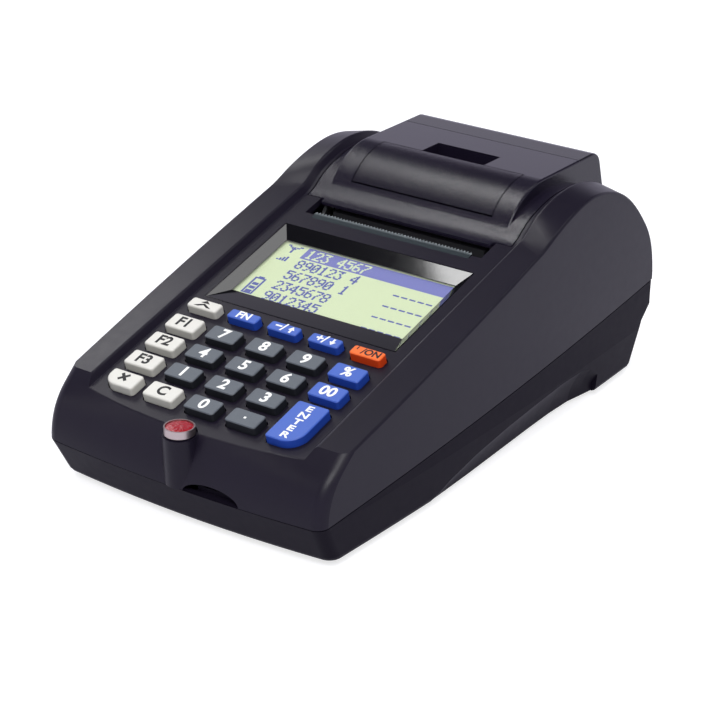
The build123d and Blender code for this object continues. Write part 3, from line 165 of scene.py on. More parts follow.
def moulded(name, colour, darker, roughness, spread, grain_mm, grain_depth, ior=1.5, shine=0.5):
    """Moulded plastic: faint cloudy colour, roughness that wanders, and an eroded mould grain."""
    material, tree, shader, mm = surface(name)
    clouds = add(tree, "ShaderNodeTexNoise", {"Vector": mm, "Scale": 0.05, "Detail": 3.0})
    tint = add(tree, "ShaderNodeMix", {"Factor": clouds.outputs["Fac"], "A": linear(colour),
                                       "B": linear(darker)}, data_type="RGBA")
    tree.links.new(tint.outputs["Result"], shader.inputs["Base Color"])
    wear = add(tree, "ShaderNodeTexNoise", {"Vector": mm, "Scale": 0.35, "Detail": 4.0})
    gloss = add(tree, "ShaderNodeMapRange", {"Value": wear.outputs["Fac"], "To Min": roughness - spread,
                                             "To Max": roughness + spread})
    tree.links.new(gloss.outputs["Result"], shader.inputs["Roughness"])
    grain = add(tree, "ShaderNodeTexNoise", {"Vector": mm, "Scale": 1 / grain_mm, "Detail": 2.0})
    bump = add(tree, "ShaderNodeBump", {"Height": grain.outputs["Fac"], "Strength": 1.0,
                                        "Distance": grain_depth * MM})
    tree.links.new(bump.outputs["Normal"], shader.inputs["Normal"])
    shader.inputs["IOR"].default_value = ior
    shader.inputs["Specular IOR Level"].default_value = shine
    return material


def metal(name, colour, roughness, streak=(1, 1, 1), streak_mm=0.3):
    """Bare metal with rolling or turning marks drawn out along one direction."""
    material, tree, shader, mm = surface(name)
    stretched = add(tree, "ShaderNodeMapping", {"Vector": mm, "Scale": streak})
    marks = add(tree, "ShaderNodeTexNoise", {"Vector": stretched.outputs["Vector"], "Scale": 1 / streak_mm,
                                             "Detail": 3.0})
    gloss = add(tree, "ShaderNodeMapRange", {"Value": marks.outputs["Fac"], "To Min": roughness * 0.7,
                                             "To Max": roughness * 1.3})
    shade = add(tree, "ShaderNodeMapRange", {"Value": marks.outputs["Fac"], "To Min": 0.85, "To Max": 1.0})
    tint = add(tree, "ShaderNodeMix", {"Factor": shade.outputs["Result"], "A": linear("#000000"),
                                       "B": linear(colour)}, data_type="RGBA")
    tree.links.new(tint.outputs["Result"], shader.inputs["Base Color"])
    tree.links.new(gloss.outputs["Result"], shader.inputs["Roughness"])
    shader.inputs["Metallic"].default_value = 1.0
    return material


def key_cap(name, top, side, roughness):
    """Moulded key cap whose top is lighter than its sides: the darker side colour, fading in at the top's
    rim, is painted shade, and on the grey keys also near-black resin under a painted top.
    """
    material, tree, shader, mm = surface(name)
    lean = math.radians(PANEL_SLOPE)
    normal = (0, -math.sin(lean), math.cos(lean))
    zero = body_point(0, 0, PANEL_NOSE_HEIGHT) / MM
    height = add(tree, "ShaderNodeVectorMath", {0: mm, 1: normal}, operation="DOT_PRODUCT")
    start = zero.dot(Vector(normal))
    mask = add(tree, "ShaderNodeMapRange", {"Value": height.outputs["Value"],
                                            "From Min": start + KEY_TOP - CAP_BLEND[0],
                                            "From Max": start + KEY_TOP - CAP_BLEND[1]})
    speckle = add(tree, "ShaderNodeTexNoise", {"Vector": mm, "Scale": CAP_GRAIN[0], "Detail": 2.0})
    face = add(tree, "ShaderNodeMix", {"Factor": speckle.outputs["Fac"], "A": linear(top[0]),
                                       "B": linear(top[1])}, data_type="RGBA")
    # the side colour under the top's rim is painted shade
    colour = add(tree, "ShaderNodeMix", {"Factor": mask.outputs["Result"], "A": linear(side),
                                         "B": face.outputs["Result"]}, data_type="RGBA")
    tree.links.new(colour.outputs["Result"], shader.inputs["Base Color"])
    bump = add(tree, "ShaderNodeBump", {"Height": speckle.outputs["Fac"], "Strength": 1.0,
                                        "Distance": CAP_GRAIN[1] * MM})
    tree.links.new(bump.outputs["Normal"], shader.inputs["Normal"])
    gloss = add(tree, "ShaderNodeMapRange", {"Value": speckle.outputs["Fac"], "To Min": roughness - CAP_WEAR,
                                             "To Max": roughness + CAP_WEAR})
    tree.links.new(gloss.outputs["Result"], shader.inputs["Roughness"])
    shader.inputs["Specular IOR Level"].default_value = 0.35
    return material


def banded(name, colour, band, roughness, grain_mm, grain_depth):
    """The cover's resin: grained like the flap's, smoother on its level top with the plain band."""
    material = moulded(name, colour, colour, roughness, 0.04, grain_mm, grain_depth, shine=0.4)
    tree = material.node_tree
    shader = next(node for node in tree.nodes if node.type == "BSDF_PRINCIPLED")
    bump = next(node for node in tree.nodes if node.type == "BUMP")
    mm = next(node for node in tree.nodes if node.type == "MAPPING").outputs["Vector"]
    axes = add(tree, "ShaderNodeSeparateXYZ", {"Vector": mm})
    level = add(tree, "ShaderNodeMapRange", {"Value": axes.outputs["Z"], "From Min": HOOD_TOP - TOP_BLEND[0],
                                             "From Max": HOOD_TOP - TOP_BLEND[1]})
    smooth = add(tree, "ShaderNodeMapRange", {"Value": level.outputs["Result"], "To Min": 1.0,
                                              "To Max": TOP_GRAIN})
    tree.links.new(smooth.outputs["Result"], bump.inputs["Strength"])
    half = (BAND_END - BAND_START) / 2
    middle = (BAND_END + BAND_START) / 2 + NOSE_LINE
    along = add(tree, "ShaderNodeMath", {0: axes.outputs["Y"], 1: middle, 2: half}, operation="COMPARE")
    across = add(tree, "ShaderNodeMath", {0: axes.outputs["X"], 1: 0.0, 2: BAND_HALF_WIDTH},
                 operation="COMPARE")
    inside = add(tree, "ShaderNodeMath", {0: along.outputs["Value"], 1: across.outputs["Value"]},
                 operation="MULTIPLY")
    mask = add(tree, "ShaderNodeMath", {0: inside.outputs["Value"], 1: level.outputs["Result"]},
               operation="MULTIPLY")
    tint = add(tree, "ShaderNodeMix", {"Factor": mask.outputs["Value"], "A": linear(colour),
                                       "B": linear(band)}, data_type="RGBA")
    tree.links.new(tint.outputs["Result"], shader.inputs["Base Color"])
    line = add(tree, "ShaderNodeMath", {0: axes.outputs["Y"], 1: BAND_START + NOSE_LINE, 2: BAND_LINE / 2},
               operation="COMPARE")
    drawn = add(tree, "ShaderNodeMath", {0: line.outputs["Value"], 1: level.outputs["Result"]},
                operation="MULTIPLY")
    gloss = add(tree, "ShaderNodeMapRange", {"Value": drawn.outputs["Value"], "To Min": roughness,
                                             "To Max": LINE_ROUGHNESS})
    tree.links.new(gloss.outputs["Result"], shader.inputs["Roughness"])
    return material


def toothed(name, colour, tip, roughness):
    """Blackened blade, lighter in colour at its teeth's tips."""
    material = metal(name, colour, roughness, (0.1, 1, 1), 0.3)
    tree = material.node_tree
    shader = next(node for node in tree.nodes if node.type == "BSDF_PRINCIPLED")
    mm = next(node for node in tree.nodes if node.type == "MAPPING").outputs["Vector"]
    axes = add(tree, "ShaderNodeSeparateXYZ", {"Vector": mm})
    lighter_tip = add(tree, "ShaderNodeMapRange", {"Value": axes.outputs["Z"], "From Min": TOOTH_TIP - TOOTH_LIGHTER[0],
                                            "From Max": TOOTH_TIP - TOOTH_LIGHTER[1]})
    tint = add(tree, "ShaderNodeMix", {"Factor": lighter_tip.outputs["Result"], "A": linear(colour),
                                       "B": linear(tip)}, data_type="RGBA")
    tree.links.new(tint.outputs["Result"], shader.inputs["Base Color"])
    return material


def printed(name, colour):
    """Pad-printed ink: flat, slightly uneven where it lies thin."""
    return moulded(name, colour, colour, 0.55, 0.08, 0.4, 0.004, 1.4)


def clear_sheet(name):
    """Clear acrylic window: thin, so it is drawn without bending the light."""
    material, tree, shader, mm = surface(name)
    haze = add(tree, "ShaderNodeTexNoise", {"Vector": mm, "Scale": 0.3, "Detail": 2.0})
    gloss = add(tree, "ShaderNodeMapRange", {"Value": haze.outputs["Fac"], "To Min": 0.03, "To Max": 0.07})
    tree.links.new(gloss.outputs["Result"], shader.inputs["Roughness"])
    shader.inputs["Base Color"].default_value = linear("#FFFFFF")
    shader.inputs["Alpha"].default_value = 0.05
    return material


# injection-moulded ABS with a fine eroded grain: a soft, faintly violet black that greys towards the light
body_abs = moulded("eroded_black_abs", "#1A1624", "#17131F", 0.36, 0.05, 0.5, 0.010, shine=0.2)
# lower shell: the same resin, duller, in a darker colour that is painted shade, so that its undercut nose
# stays as dark as the wall above
base_abs = moulded("dull_shaded_black_abs", "#17131F", "#14111B", 0.46, 0.05, 0.5, 0.010, shine=0.06)
# the same resin from a coarser, glossier mould face: a broad, soft grey highlight on the curves
cover_abs = moulded("sparkled_black_abs", "#191523", "#17131F", 0.22, 0.02, 0.5, 0.09, shine=0.4)
hood_abs = banded("banded_black_abs", "#191523", "#131119", 0.22, 0.5, 0.09)
# polished mould face: deep black with clean reflections
bezel_abs = moulded("polished_black_abs", "#0E0D11", "#0C0B0E", 0.07, 0.02, 0.8, 0.001, shine=0.45)
# inner trough, left matt by the mould
bay_abs = moulded("matt_black_abs", "#151418", "#111013", 0.6, 0.05, 0.6, 0.01)
# the side colours, darker than the tops, are painted shade; the grey caps' near-black sides are also their
# own resin under a painted grey top
grey_key = key_cap("painted_grey_keycap", ("#5E646C", "#565C64"), "#1E2025", 0.5)
blue_key = key_cap("moulded_blue_keycap", ("#4465BE", "#3F60B7"), "#2347AC", 0.42)
orange_key = key_cap("moulded_orange_keycap", ("#F6722F", "#F06A28"), "#DF4515", 0.42)
white_key = key_cap("moulded_white_keycap", ("#DCDAD4", "#D5D3CC"), "#C6C4BC", 0.48)
white_ink = printed("white_ink", "#F2F2F0")
black_ink = printed("black_ink", "#1B1A1C")
# poured sealing compound: glossy, wrinkled where it set
red_seal = moulded("red_sealing_compound", "#B81E2C", "#7E0F1A", 0.16, 0.08, 1.3, 0.45)
seal_metal = metal("drawn_aluminium", "#C3B6B3", 0.36, (1, 1, 8), 0.6)
zinc_steel = metal("zinc_plated_steel", "#B9BCBF", 0.36, (0.1, 1, 1), 0.3)
# blackened blade steel: dark green-grey flats, lighter in colour at the teeth's tips
blade_steel = toothed("blackened_steel", "#262C30", "#70767A", 0.40)
spring_steel = metal("spring_steel", "#A4A5A8", 0.28, (0.1, 1, 1), 0.3)
bronze = metal("sintered_bronze", "#B48A52", 0.45)
rubber = moulded("black_rubber", "#1C1C1E", "#232325", 0.75, 0.06, 0.5, 0.02)
silicone = moulded("grey_silicone", "#A9ABB0", "#9FA1A7", 0.6, 0.06, 0.8, 0.01)
board_mask = moulded("green_solder_mask", "#1E5A34", "#174A2B", 0.4, 0.08, 1.2, 0.02)
epoxy = moulded("moulded_epoxy", "#1D1D20", "#26262A", 0.55, 0.06, 0.3, 0.01)
acetal = moulded("natural_acetal", "#DAD9D2", "#CFCEC6", 0.42, 0.05, 0.7, 0.01)
sleeve = moulded("blue_shrink_sleeve", "#24407A", "#1D3566", 0.3, 0.06, 2.5, 0.03)
card_resin = moulded("card_resin", "#1A2236", "#141B2C", 0.45, 0.05, 0.5, 0.01)
window_clear = clear_sheet("clear_acrylic")
# reflective polariser of the display: pale yellow-green
lcd_ground = moulded("lcd_polariser", "#CAD8AE", "#C3D1A6", 0.5, 0.05, 0.6, 0.002, 1.3)
lcd_ink = printed("lcd_dark_dot", "#2E3F96")
lcd_bar = printed("lcd_inverse_dot", "#5A60AC")

FINISH = {
    "base_shell": base_abs, "upper_shell": body_abs, "rubber_feet": rubber, "case_screws": zinc_steel,
    "seal_cup": seal_metal, "seal_wax": red_seal, "display_bezel": bezel_abs, "display_window": window_clear,
    "lcd_module": lcd_ground, "key_mat": silicone, "keypad_board": board_mask, "main_board": board_mask,
    "battery_pack": sleeve, "fiscal_memory": epoxy, "io_board": board_mask, "power_socket": epoxy,
    "data_socket": epoxy, "card_socket": zinc_steel, "memory_card": card_resin, "printer_frame": zinc_steel,
    "print_head": epoxy, "head_spring": spring_steel, "tear_bar": blade_steel, "stepper_motor": zinc_steel,
    "motor_pinion": acetal, "idler_gear": acetal, "platen_gear": acetal, "platen_shaft": zinc_steel,
    "platen_roller": rubber, "platen_bushes": bronze, "paper_bay": bay_abs, "paper_cover": hood_abs,
    "hinge_pin": zinc_steel, "release_flap": cover_abs, "latch_shaft": zinc_steel,
    "latch_spring": spring_steel,
}
KEY_FINISH = {
    white_key: ("key_feed", "key_f1", "key_f2", "key_f3", "key_times", "key_clear"),
    blue_key: ("key_function", "key_up", "key_down", "key_percent", "key_subtotal", "key_enter"),
    orange_key: ("key_power",),
    grey_key: ("key_0", "key_1", "key_2", "key_3", "key_4", "key_5", "key_6", "key_7", "key_8", "key_9",
               "key_point"),
}
for finish, names in KEY_FINISH.items():
    for key_name in names:
        FINISH[key_name] = finish
for node_name, node_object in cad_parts.items():
    node_object.data.materials.clear()
    node_object.data.materials.append(FINISH[node_name])


# ---------------------------------------------------------------- legends on the keys
COLUMN = 15.6                           # mm between the columns of keys
ROWS = (15.8, 25.8, 35.8, 45.8, 56.0)   # mm up the slope, the rows of keys
ENTER_S = 20.5                          # mm up the slope, middle of the tall key
LETTER_STRETCH = 1.45                   # the tall key's letters are wide and low
LETTER_SIZE, LETTER_TOP, LETTER_STEP = 3.3, 6.2, 3.1    # mm, the tall key's letters
POINT_RADIUS = 0.55                     # mm, the decimal point's corners


def words(text, size, x=0.0, y=0.0, bold=0.03):
    """Flat text made a mesh, centred at x and y in millimetres."""
    bpy.ops.object.text_add()
    obj = bpy.context.object
    obj.data.body = text
    obj.data.size = size * MM
    obj.data.align_x = "CENTER"
    obj.data.align_y = "CENTER"
    obj.data.offset = bold * size * MM
    obj.data.extrude = PRINT_DEPTH / 2 * MM
    obj.data.resolution_u = 4
    pick(obj)
    bpy.ops.object.convert(target="MESH")
    obj = bpy.context.object
    obj.data.transform(Matrix.Translation(Vector((x, y, PRINT_DEPTH / 2)) * MM))
    return obj


def shape(points):
    """A flat polygon between points in millimetres, drawn from a one-sided disc and made thick."""
    bpy.ops.mesh.primitive_circle_add(vertices=len(points), radius=MM, fill_type="NGON")
    obj = bpy.context.object
    for vertex, point in zip(obj.data.vertices, points):
        vertex.co = (point[0] * MM, point[1] * MM, 0)
    return thicken(obj, PRINT_DEPTH * MM)


def ring_symbol(x, y, radius, width):
    """The usual power sign: an open ring with a bar in its gap."""
    bpy.ops.mesh.primitive_circle_add(vertices=24, radius=radius * MM, fill_type="NOTHING")
    obj = bpy.context.object
    select_vertices(obj, lambda co: co.y > radius * 0.8 * MM)
    bpy.ops.mesh.delete(type="VERT")
    bpy.ops.mesh.select_all(action="SELECT")
    bpy.ops.mesh.extrude_edges_move()
    inner = (radius - width) / radius
    bpy.ops.transform.resize(value=(inner, inner, 1), center_override=(0, 0, 0))
    bpy.ops.object.mode_set(mode="OBJECT")
    thicken(obj, PRINT_DEPTH * MM)
    half = width / 2
    bar = shape([(-half, radius * 0.1), (half, radius * 0.1), (half, radius * 1.15), (-half, radius * 1.15)])
    sign = join([obj, bar])
    sign.data.transform(Matrix.Translation(Vector((x, y, 0)) * MM))
    return sign


def arrow(x, y, sign, size=1.0):
    """A short thick arrow that points up the slope, or down it with sign -1."""
    head = [(-1.0, -0.1), (1.0, -0.1), (0.0, 1.25)]
    stem = [(-0.32, -1.25), (0.32, -1.25), (0.32, 0.0), (-0.32, 0.0)]
    drawings = []
    for points in (head, stem):
        placed = [(x + size * px, y + size * sign * py) for px, py in points]
        drawings.append(shape(placed if sign > 0 else placed[::-1]))
    return join(drawings)


def print_on(key_name, column, s, ink, drawings):
    """Prints drawings on a key's top, centred on its column and at s."""
    place = panel_matrix(column * COLUMN, s, KEY_TOP + PRINT_LIFT)
    return settle(join(drawings), place, f"legend_{key_name}", ink, f"{key_name}_cap")


LEGENDS = [
    ("F1", "key_f1", -2, 3, 5.6, black_ink), ("7", "key_7", -1, 3, 5.9, white_ink),
    ("8", "key_8", 0, 3, 5.9, white_ink), ("9", "key_9", 1, 3, 5.9, white_ink),
    ("%", "key_percent", 2, 3, 5.4, white_ink),
    ("F2", "key_f2", -2, 2, 5.6, black_ink), ("4", "key_4", -1, 2, 5.9, white_ink),
    ("5", "key_5", 0, 2, 5.9, white_ink), ("6", "key_6", 1, 2, 5.9, white_ink),
    ("00", "key_subtotal", 2, 2, 5.6, white_ink),
    ("F3", "key_f3", -2, 1, 5.6, black_ink), ("1", "key_1", -1, 1, 5.9, white_ink),
    ("2", "key_2", 0, 1, 5.9, white_ink), ("3", "key_3", 1, 1, 5.9, white_ink),
    ("C", "key_clear", -1, 0, 5.6, black_ink), ("0", "key_0", 0, 0, 5.9, white_ink),
    ("FN", "key_function", -1, 4, 4.2, white_ink),
]
for text, key_name, column, row, size, ink in LEGENDS:
    print_on(key_name, column, ROWS[row], ink, [words(text, size)])

corners = [math.radians(angle) for angle in range(45, 405, 90)]
dot = shape([(POINT_RADIUS * math.cos(angle), POINT_RADIUS * math.sin(angle)) for angle in corners])
print_on("key_point", 1, ROWS[0], white_ink, [dot])
print_on("key_times", -2, ROWS[0], black_ink, [words("×", 7.0, 0.0, 0.1)])
print_on("key_power", 2, ROWS[4], black_ink, [ring_symbol(-3.9, 0.0, 1.3, 0.4), words("/ON", 3.6, 1.4, 0.0)])
print_on("key_up", 0, ROWS[4], white_ink, [words("−/", 4.6, -1.5, 0.1), arrow(2.8, 0.0, 1, 1.15)])
print_on("key_down", 1, ROWS[4], white_ink, [words("+/", 4.6, -1.5, 0.1), arrow(2.8, 0.0, -1, 1.15)])
feed_peak = shape([(-1.7, 0.45), (1.7, 0.45), (0.0, 1.75)])
feed_wing = shape([(-3.4, -1.45), (-1.6, -1.45), (0.0, -0.55), (1.6, -1.45), (3.4, -1.45), (0.0, 0.25)])
print_on("key_feed", -2, ROWS[4], black_ink, [feed_peak, feed_wing])
letters = [words(letter, LETTER_SIZE, 0.0, LETTER_TOP - LETTER_STEP * i) for i, letter in enumerate("ENTER")]
for letter in letters:
    letter.data.transform(Matrix.Diagonal((LETTER_STRETCH, 1, 1, 1)))
print_on("key_enter", 2, ENTER_S, white_ink, letters)

# ---------------------------------------------------------------- dots of the display
DOTS = (128, 45)                 # dots across and down the view
VIEW = (65.8, 29.4)              # mm
VIEW_S = 85.5                    # mm up the slope, middle of the view
VIEW_DEPTH = -3.15               # mm, top of the display's glass below the panel
ROW_DOTS, CHARACTER_DOTS = 9, 6
# rows of each digit, five dots wide, the top row first, as bits
DIGITS = {
    "0": (14, 17, 19, 21, 25, 17, 14), "1": (4, 12, 4, 4, 4, 4, 14), "2": (14, 17, 1, 2, 4, 8, 31),
    "3": (31, 2, 4, 2, 1, 17, 14), "4": (2, 6, 10, 18, 31, 2, 2), "5": (31, 16, 30, 1, 1, 17, 14),
    "6": (6, 8, 16, 30, 17, 17, 14), "7": (31, 1, 2, 4, 8, 8, 8), "8": (14, 17, 17, 14, 17, 17, 14),
    "9": (14, 17, 17, 15, 1, 2, 12), " ": (0, 0, 0, 0, 0, 0, 0),
}
LINES = ("123 4567", "890123 4", "567890 1", "2345678", "9012345")
TEXT_START = 20                  # dots from the left edge to the first character
DASHES, DASH_DOTS, DASH_ROW = 5, 4, 7     # dashes in a row, dots in one, and where it lies in its row
CHARACTER_BITS = 5                # dots across a digit
DOT_LIFT = 0.01                   # mm, the dots above the display's glass
SIGNAL = ((1, 5), (3, 4), (5, 3), (7, 2))
BATTERY = (4, 11, 30, 42)        # dots: left, right, top and bottom of the battery sign


def written_dots():
    """The dark dots of the text rows, the dashes, and the aerial, signal and battery signs."""
    dark = set()
    for row, line in enumerate(LINES):
        for place, character in enumerate(line):
            for down, bits in enumerate(DIGITS[character]):
                for across in range(CHARACTER_BITS):
                    if bits >> (CHARACTER_BITS - 1 - across) & 1:
                        dark.add((TEXT_START + place * CHARACTER_DOTS + across, row * ROW_DOTS + 1 + down))
        if row:
            for dash in range(DASHES):
                start = DOTS[0] - 2 - (dash + 1) * CHARACTER_DOTS
                dark.update((start + step, row * ROW_DOTS + DASH_ROW) for step in range(DASH_DOTS))
    for step in range(5):
        dark.update({(3 + step, 1 + step // 2), (13 - step, 1 + step // 2), (8, 2 + step)})
    for across, top in SIGNAL:
        dark.update((3 + across, y) for y in range(8 + top, 14))
    left, right, top, bottom = BATTERY
    dark.update((x, y) for x in (left, right) for y in range(top, bottom + 1))
    dark.update((x, y) for x in range(left, right + 1) for y in (top, bottom))
    dark.update((x, top - 1) for x in range(left + 2, right - 1))
    for charge in range(top + 4, bottom - 1, 3):
        dark.update((x, y) for x in range(left + 2, right - 1) for y in (charge, charge + 1))
    return dark


def dot_sheet(name, wanted, ink, lift):
    """A sheet of display dots: a fine grid whose other faces are deleted."""
    bpy.ops.mesh.primitive_grid_add(x_subdivisions=2 * DOTS[0], y_subdivisions=DOTS[1], size=MM)
    obj = bpy.context.object
    obj.data.transform(Matrix.Diagonal((VIEW[0], VIEW[1], 1, 1)))
    bpy.ops.object.mode_set(mode="EDIT")
    bpy.ops.mesh.select_all(action="DESELECT")
    bpy.ops.mesh.select_mode(type="FACE")
    bpy.ops.object.mode_set(mode="OBJECT")
    for face in obj.data.polygons:
        column = int((face.center.x / MM / VIEW[0] + 0.5) * DOTS[0] * 2)
        row = DOTS[1] - 1 - int((face.center.y / MM / VIEW[1] + 0.5) * DOTS[1])
        face.select = not wanted(column, row)
    bpy.ops.object.mode_set(mode="EDIT")
    bpy.ops.mesh.delete(type="FACE")
    bpy.ops.mesh.select_mode(type="VERT")
    bpy.ops.object.mode_set(mode="OBJECT")
    thicken(obj, PRINT_DEPTH / 2 * MM)
    return settle(obj, panel_matrix(0, VIEW_S, VIEW_DEPTH + lift), name, ink, "housing")


written = written_dots()


def inked(half_column, row):
    """Whether a half dot is dark: each dot spreads half a dot to its right."""
    return (half_column // 2, row) in written or ((half_column - 1) // 2, row) in written


def in_bar(half_column, row):
    """The header row, which is drawn light on dark."""
    return row < ROW_DOTS and TEXT_START - 2 <= half_column // 2


dot_sheet("display_bar", lambda x, y: in_bar(x, y) and not inked(x, y), lcd_bar, DOT_LIFT)
dot_sheet("display_text", lambda x, y: not in_bar(x, y) and inked(x, y), lcd_ink, DOT_LIFT)

# ---------------------------------------------------------------- poured seal
SEAL_Y, SEAL_RADIUS = 3.5, 4.2
SEAL_LOW, SEAL_RISE = 31.72, 1.55       # mm, the cup's floor and the compound's height at its rim
SEAL_CROWN = 0.75                       # mm, how far the middle stands above the rim
SEAL_STEPS = ((0.10, 0.34), (0.22, 0.26), (0.25, 0.11), (0.22, 0.04))   # shares of radius and crown


def poured_seal():
    """Sealing compound with a crowned, slightly slumped top."""
    bpy.ops.mesh.primitive_cylinder_add(vertices=48, radius=SEAL_RADIUS * MM, depth=SEAL_RISE * MM)
    obj = bpy.context.object
    obj.data.transform(Matrix.Translation((0, 0, SEAL_RISE / 2 * MM)))
    bpy.ops.object.mode_set(mode="EDIT")
    bpy.ops.mesh.select_mode(type="FACE")
    bpy.ops.object.mode_set(mode="OBJECT")
    for face in obj.data.polygons:
        face.select = face.normal.z > 0.9
    bpy.ops.object.mode_set(mode="EDIT")
    for share, rise in SEAL_STEPS:
        bpy.ops.mesh.inset(thickness=share * SEAL_RADIUS * MM)
        bpy.ops.transform.translate(value=(0, 0, rise * SEAL_CROWN * MM))
    bpy.ops.mesh.select_mode(type="VERT")
    bpy.ops.object.mode_set(mode="OBJECT")
    bpy.ops.object.shade_smooth_by_angle(angle=math.radians(40))
    place = Matrix.Translation(body_point(0, SEAL_Y, SEAL_LOW))
    piece = settle(obj, place, "poured_seal", red_seal, "housing")
    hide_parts("seal_wax")
    return piece


poured_seal()

# ---------------------------------------------------------------- camera, floor and light
AZIMUTH, ELEVATION = math.radians(36.39), math.radians(23.88)
DISTANCE = 0.7056                       # m, camera to its target
TARGET = (0, 14.5, 36.5)                # mm, near the middle of the keypad
SHIFT = (0.04370, 0.01509)              # m, target to the middle of the frame, across and up
SENSOR, LENS = 36.0, 122.98             # mm
CLIP = (0.01, 20.0)                     # m
back = Vector((math.sin(AZIMUTH) * math.cos(ELEVATION), -math.cos(AZIMUTH) * math.cos(ELEVATION),
               math.sin(ELEVATION)))
right = Vector((math.cos(AZIMUTH), math.sin(AZIMUTH), 0))
up = back.cross(right)
target = body_point(*TARGET) + right * SHIFT[0] + up * SHIFT[1]
camera_data = bpy.data.cameras.new("camera")
camera_data.sensor_width = SENSOR
camera_data.lens = LENS
camera_data.clip_start, camera_data.clip_end = CLIP
camera = bpy.data.objects.new("camera", camera_data)
bpy.context.scene.collection.objects.link(camera)
turn = Matrix((right, up, back)).transposed().to_4x4()
camera.matrix_world = Matrix.Translation(target + back * DISTANCE) @ turn
bpy.context.scene.camera = camera

BACKDROP_WHITE = "#EEE9FF"              # the white card as gloss sees it, a shade cool
CEILING_GREY = "#3E4046"                # the dim studio above the white backdrop
ROOM_GREY = "#8A8C94"                   # what the whole room sends to matt surfaces
FLOOR_WHITE = "#B4B4B8"                 # the card itself, which carries the shadow
FLOOR_SIZE = 6.0                        # m
FLOOR_LIFT = 0.5                        # added to the lit card where it is seen
CAMERA_LIFT = 0.24                      # added once more where the camera sees it
BACKDROP_TOP, CEILING_START = 0.335, 0.47   # sine of the elevation where white fades into the ceiling

world = bpy.data.worlds.new("studio")
bpy.context.scene.world = world
world.use_nodes = True
sky = world.node_tree
sky.nodes.clear()
world_output = add(sky, "ShaderNodeOutputWorld")
direction = add(sky, "ShaderNodeTexCoord")
axes = add(sky, "ShaderNodeSeparateXYZ", {"Vector": direction.outputs["Generated"]})
above = add(sky, "ShaderNodeMapRange", {"Value": axes.outputs["Z"], "From Min": BACKDROP_TOP,
                                        "From Max": CEILING_START}, interpolation_type="SMOOTHSTEP")
seen = add(sky, "ShaderNodeMix", {"Factor": above.outputs["Result"], "A": linear(BACKDROP_WHITE),
                                  "B": linear(CEILING_GREY)}, data_type="RGBA")
studio = add(sky, "ShaderNodeBackground", {"Color": seen.outputs["Result"]})
room = add(sky, "ShaderNodeBackground", {"Color": linear(ROOM_GREY)})
plain = add(sky, "ShaderNodeBackground", {"Color": (1, 1, 1, 1)})
sky_ray = add(sky, "ShaderNodeLightPath")
in_gloss = add(sky, "ShaderNodeMixShader", {0: sky_ray.outputs["Is Glossy Ray"],
                                            1: room.outputs["Background"],
                                            2: studio.outputs["Background"]})
direct = add(sky, "ShaderNodeMath", {0: sky_ray.outputs["Is Camera Ray"],
                                     1: sky_ray.outputs["Is Transmission Ray"]}, operation="MAXIMUM")
add(sky, "ShaderNodeMixShader", {0: direct.outputs["Value"], 1: in_gloss.outputs["Shader"],
                                 2: plain.outputs["Background"]}, name="seen")
sky.links.new(sky.nodes["seen"].outputs["Shader"], world_output.inputs["Surface"])


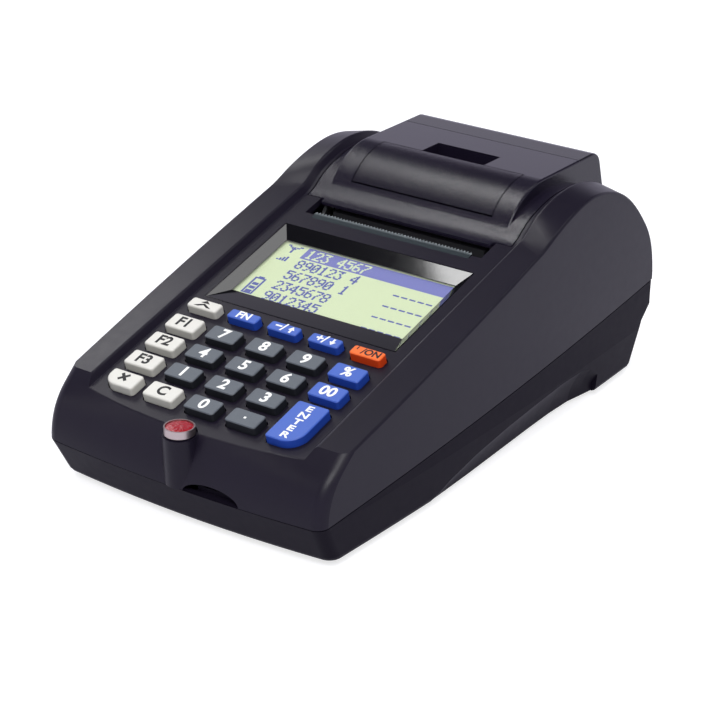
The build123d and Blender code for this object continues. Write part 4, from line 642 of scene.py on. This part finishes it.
def floor_material():
    """Seamless white card: the camera and gloss see it lifted to white where no shadow falls."""
    material = bpy.data.materials.new("white_card")
    material.use_nodes = True
    tree = material.node_tree
    tree.nodes.clear()
    output = add(tree, "ShaderNodeOutputMaterial")
    card = add(tree, "ShaderNodeBsdfPrincipled", {"Base Color": linear(FLOOR_WHITE), "Roughness": 0.9,
                                                  "Specular IOR Level": 0.0})
    ray = add(tree, "ShaderNodeLightPath")
    lift = add(tree, "ShaderNodeMapRange", {"Value": ray.outputs["Is Camera Ray"], "To Min": FLOOR_LIFT,
                                            "To Max": FLOOR_LIFT + CAMERA_LIFT})
    cast = add(tree, "ShaderNodeMix", {"Factor": ray.outputs["Is Glossy Ray"], "A": (1, 1, 1, 1),
                                       "B": linear(BACKDROP_WHITE)}, data_type="RGBA")
    glow = add(tree, "ShaderNodeEmission", {"Color": cast.outputs["Result"],
                                            "Strength": lift.outputs["Result"]})
    seen_ray = add(tree, "ShaderNodeMath", {0: ray.outputs["Is Camera Ray"], 1: ray.outputs["Is Glossy Ray"]},
                   operation="MAXIMUM")
    seen_or_clear = add(tree, "ShaderNodeMath", {0: seen_ray.outputs["Value"],
                                                 1: ray.outputs["Is Transmission Ray"]}, operation="MAXIMUM")
    both = add(tree, "ShaderNodeAddShader", {0: card.outputs["BSDF"], 1: glow.outputs["Emission"]})
    mix = add(tree, "ShaderNodeMixShader", {0: seen_or_clear.outputs["Value"], 1: card.outputs["BSDF"],
                                            2: both.outputs["Shader"]})
    tree.links.new(mix.outputs["Shader"], output.inputs["Surface"])
    return material


bpy.ops.mesh.primitive_plane_add(size=FLOOR_SIZE, location=(0, 0, 0))
floor = bpy.context.object
floor.name = "floor"
floor.data.materials.append(floor_material())


def softbox(name, place, aim, width, height, power):
    """A rectangular lamp that looks at a point."""
    data = bpy.data.lights.new(name, "AREA")
    data.shape = "RECTANGLE"
    data.size, data.size_y = width, height
    data.energy = power
    lamp = bpy.data.objects.new(name, data)
    bpy.context.scene.collection.objects.link(lamp)
    look = (Vector(aim) - Vector(place)).to_track_quat("-Z", "Y")
    lamp.matrix_world = Matrix.Translation(place) @ look.to_matrix().to_4x4()
    return lamp


OBJECT_MIDDLE = (0, 0.02, 0.05)         # m, what every lamp looks at
# name, place and size in metres, power in watts
LAMPS = [
    ("cover_light", (-0.47, 0.06, 1.0), 0.34, 0.12, 2.0),       # mirrored by the flap
    ("bevel_light", (-0.54, -0.25, 1.0), 0.2, 0.05, 0.5),       # by the bezel's rear bevel
    ("panel_light", (-1.25, 0.52, 1.0), 0.45, 0.5, 4.0),        # by the keypad panel
    ("left_bevel_light", (0.25, 0.38, 1.0), 0.3, 0.3, 1.2),     # by the bezel's left bevel
    ("crest_light", (-0.75, -0.86, 0.74), 0.3, 0.16, 1.2),
    ("front_light", (0.45, -0.75, 1.05), 0.7, 0.6, 12.0),
    ("side_light", (1.1, -0.2, 0.9), 0.5, 0.5, 2.0),
]
for lamp_name, place, width, height, power in LAMPS:
    softbox(lamp_name, place, OBJECT_MIDDLE, width, height, power)

bpy.context.scene.view_settings.view_transform = "Standard"
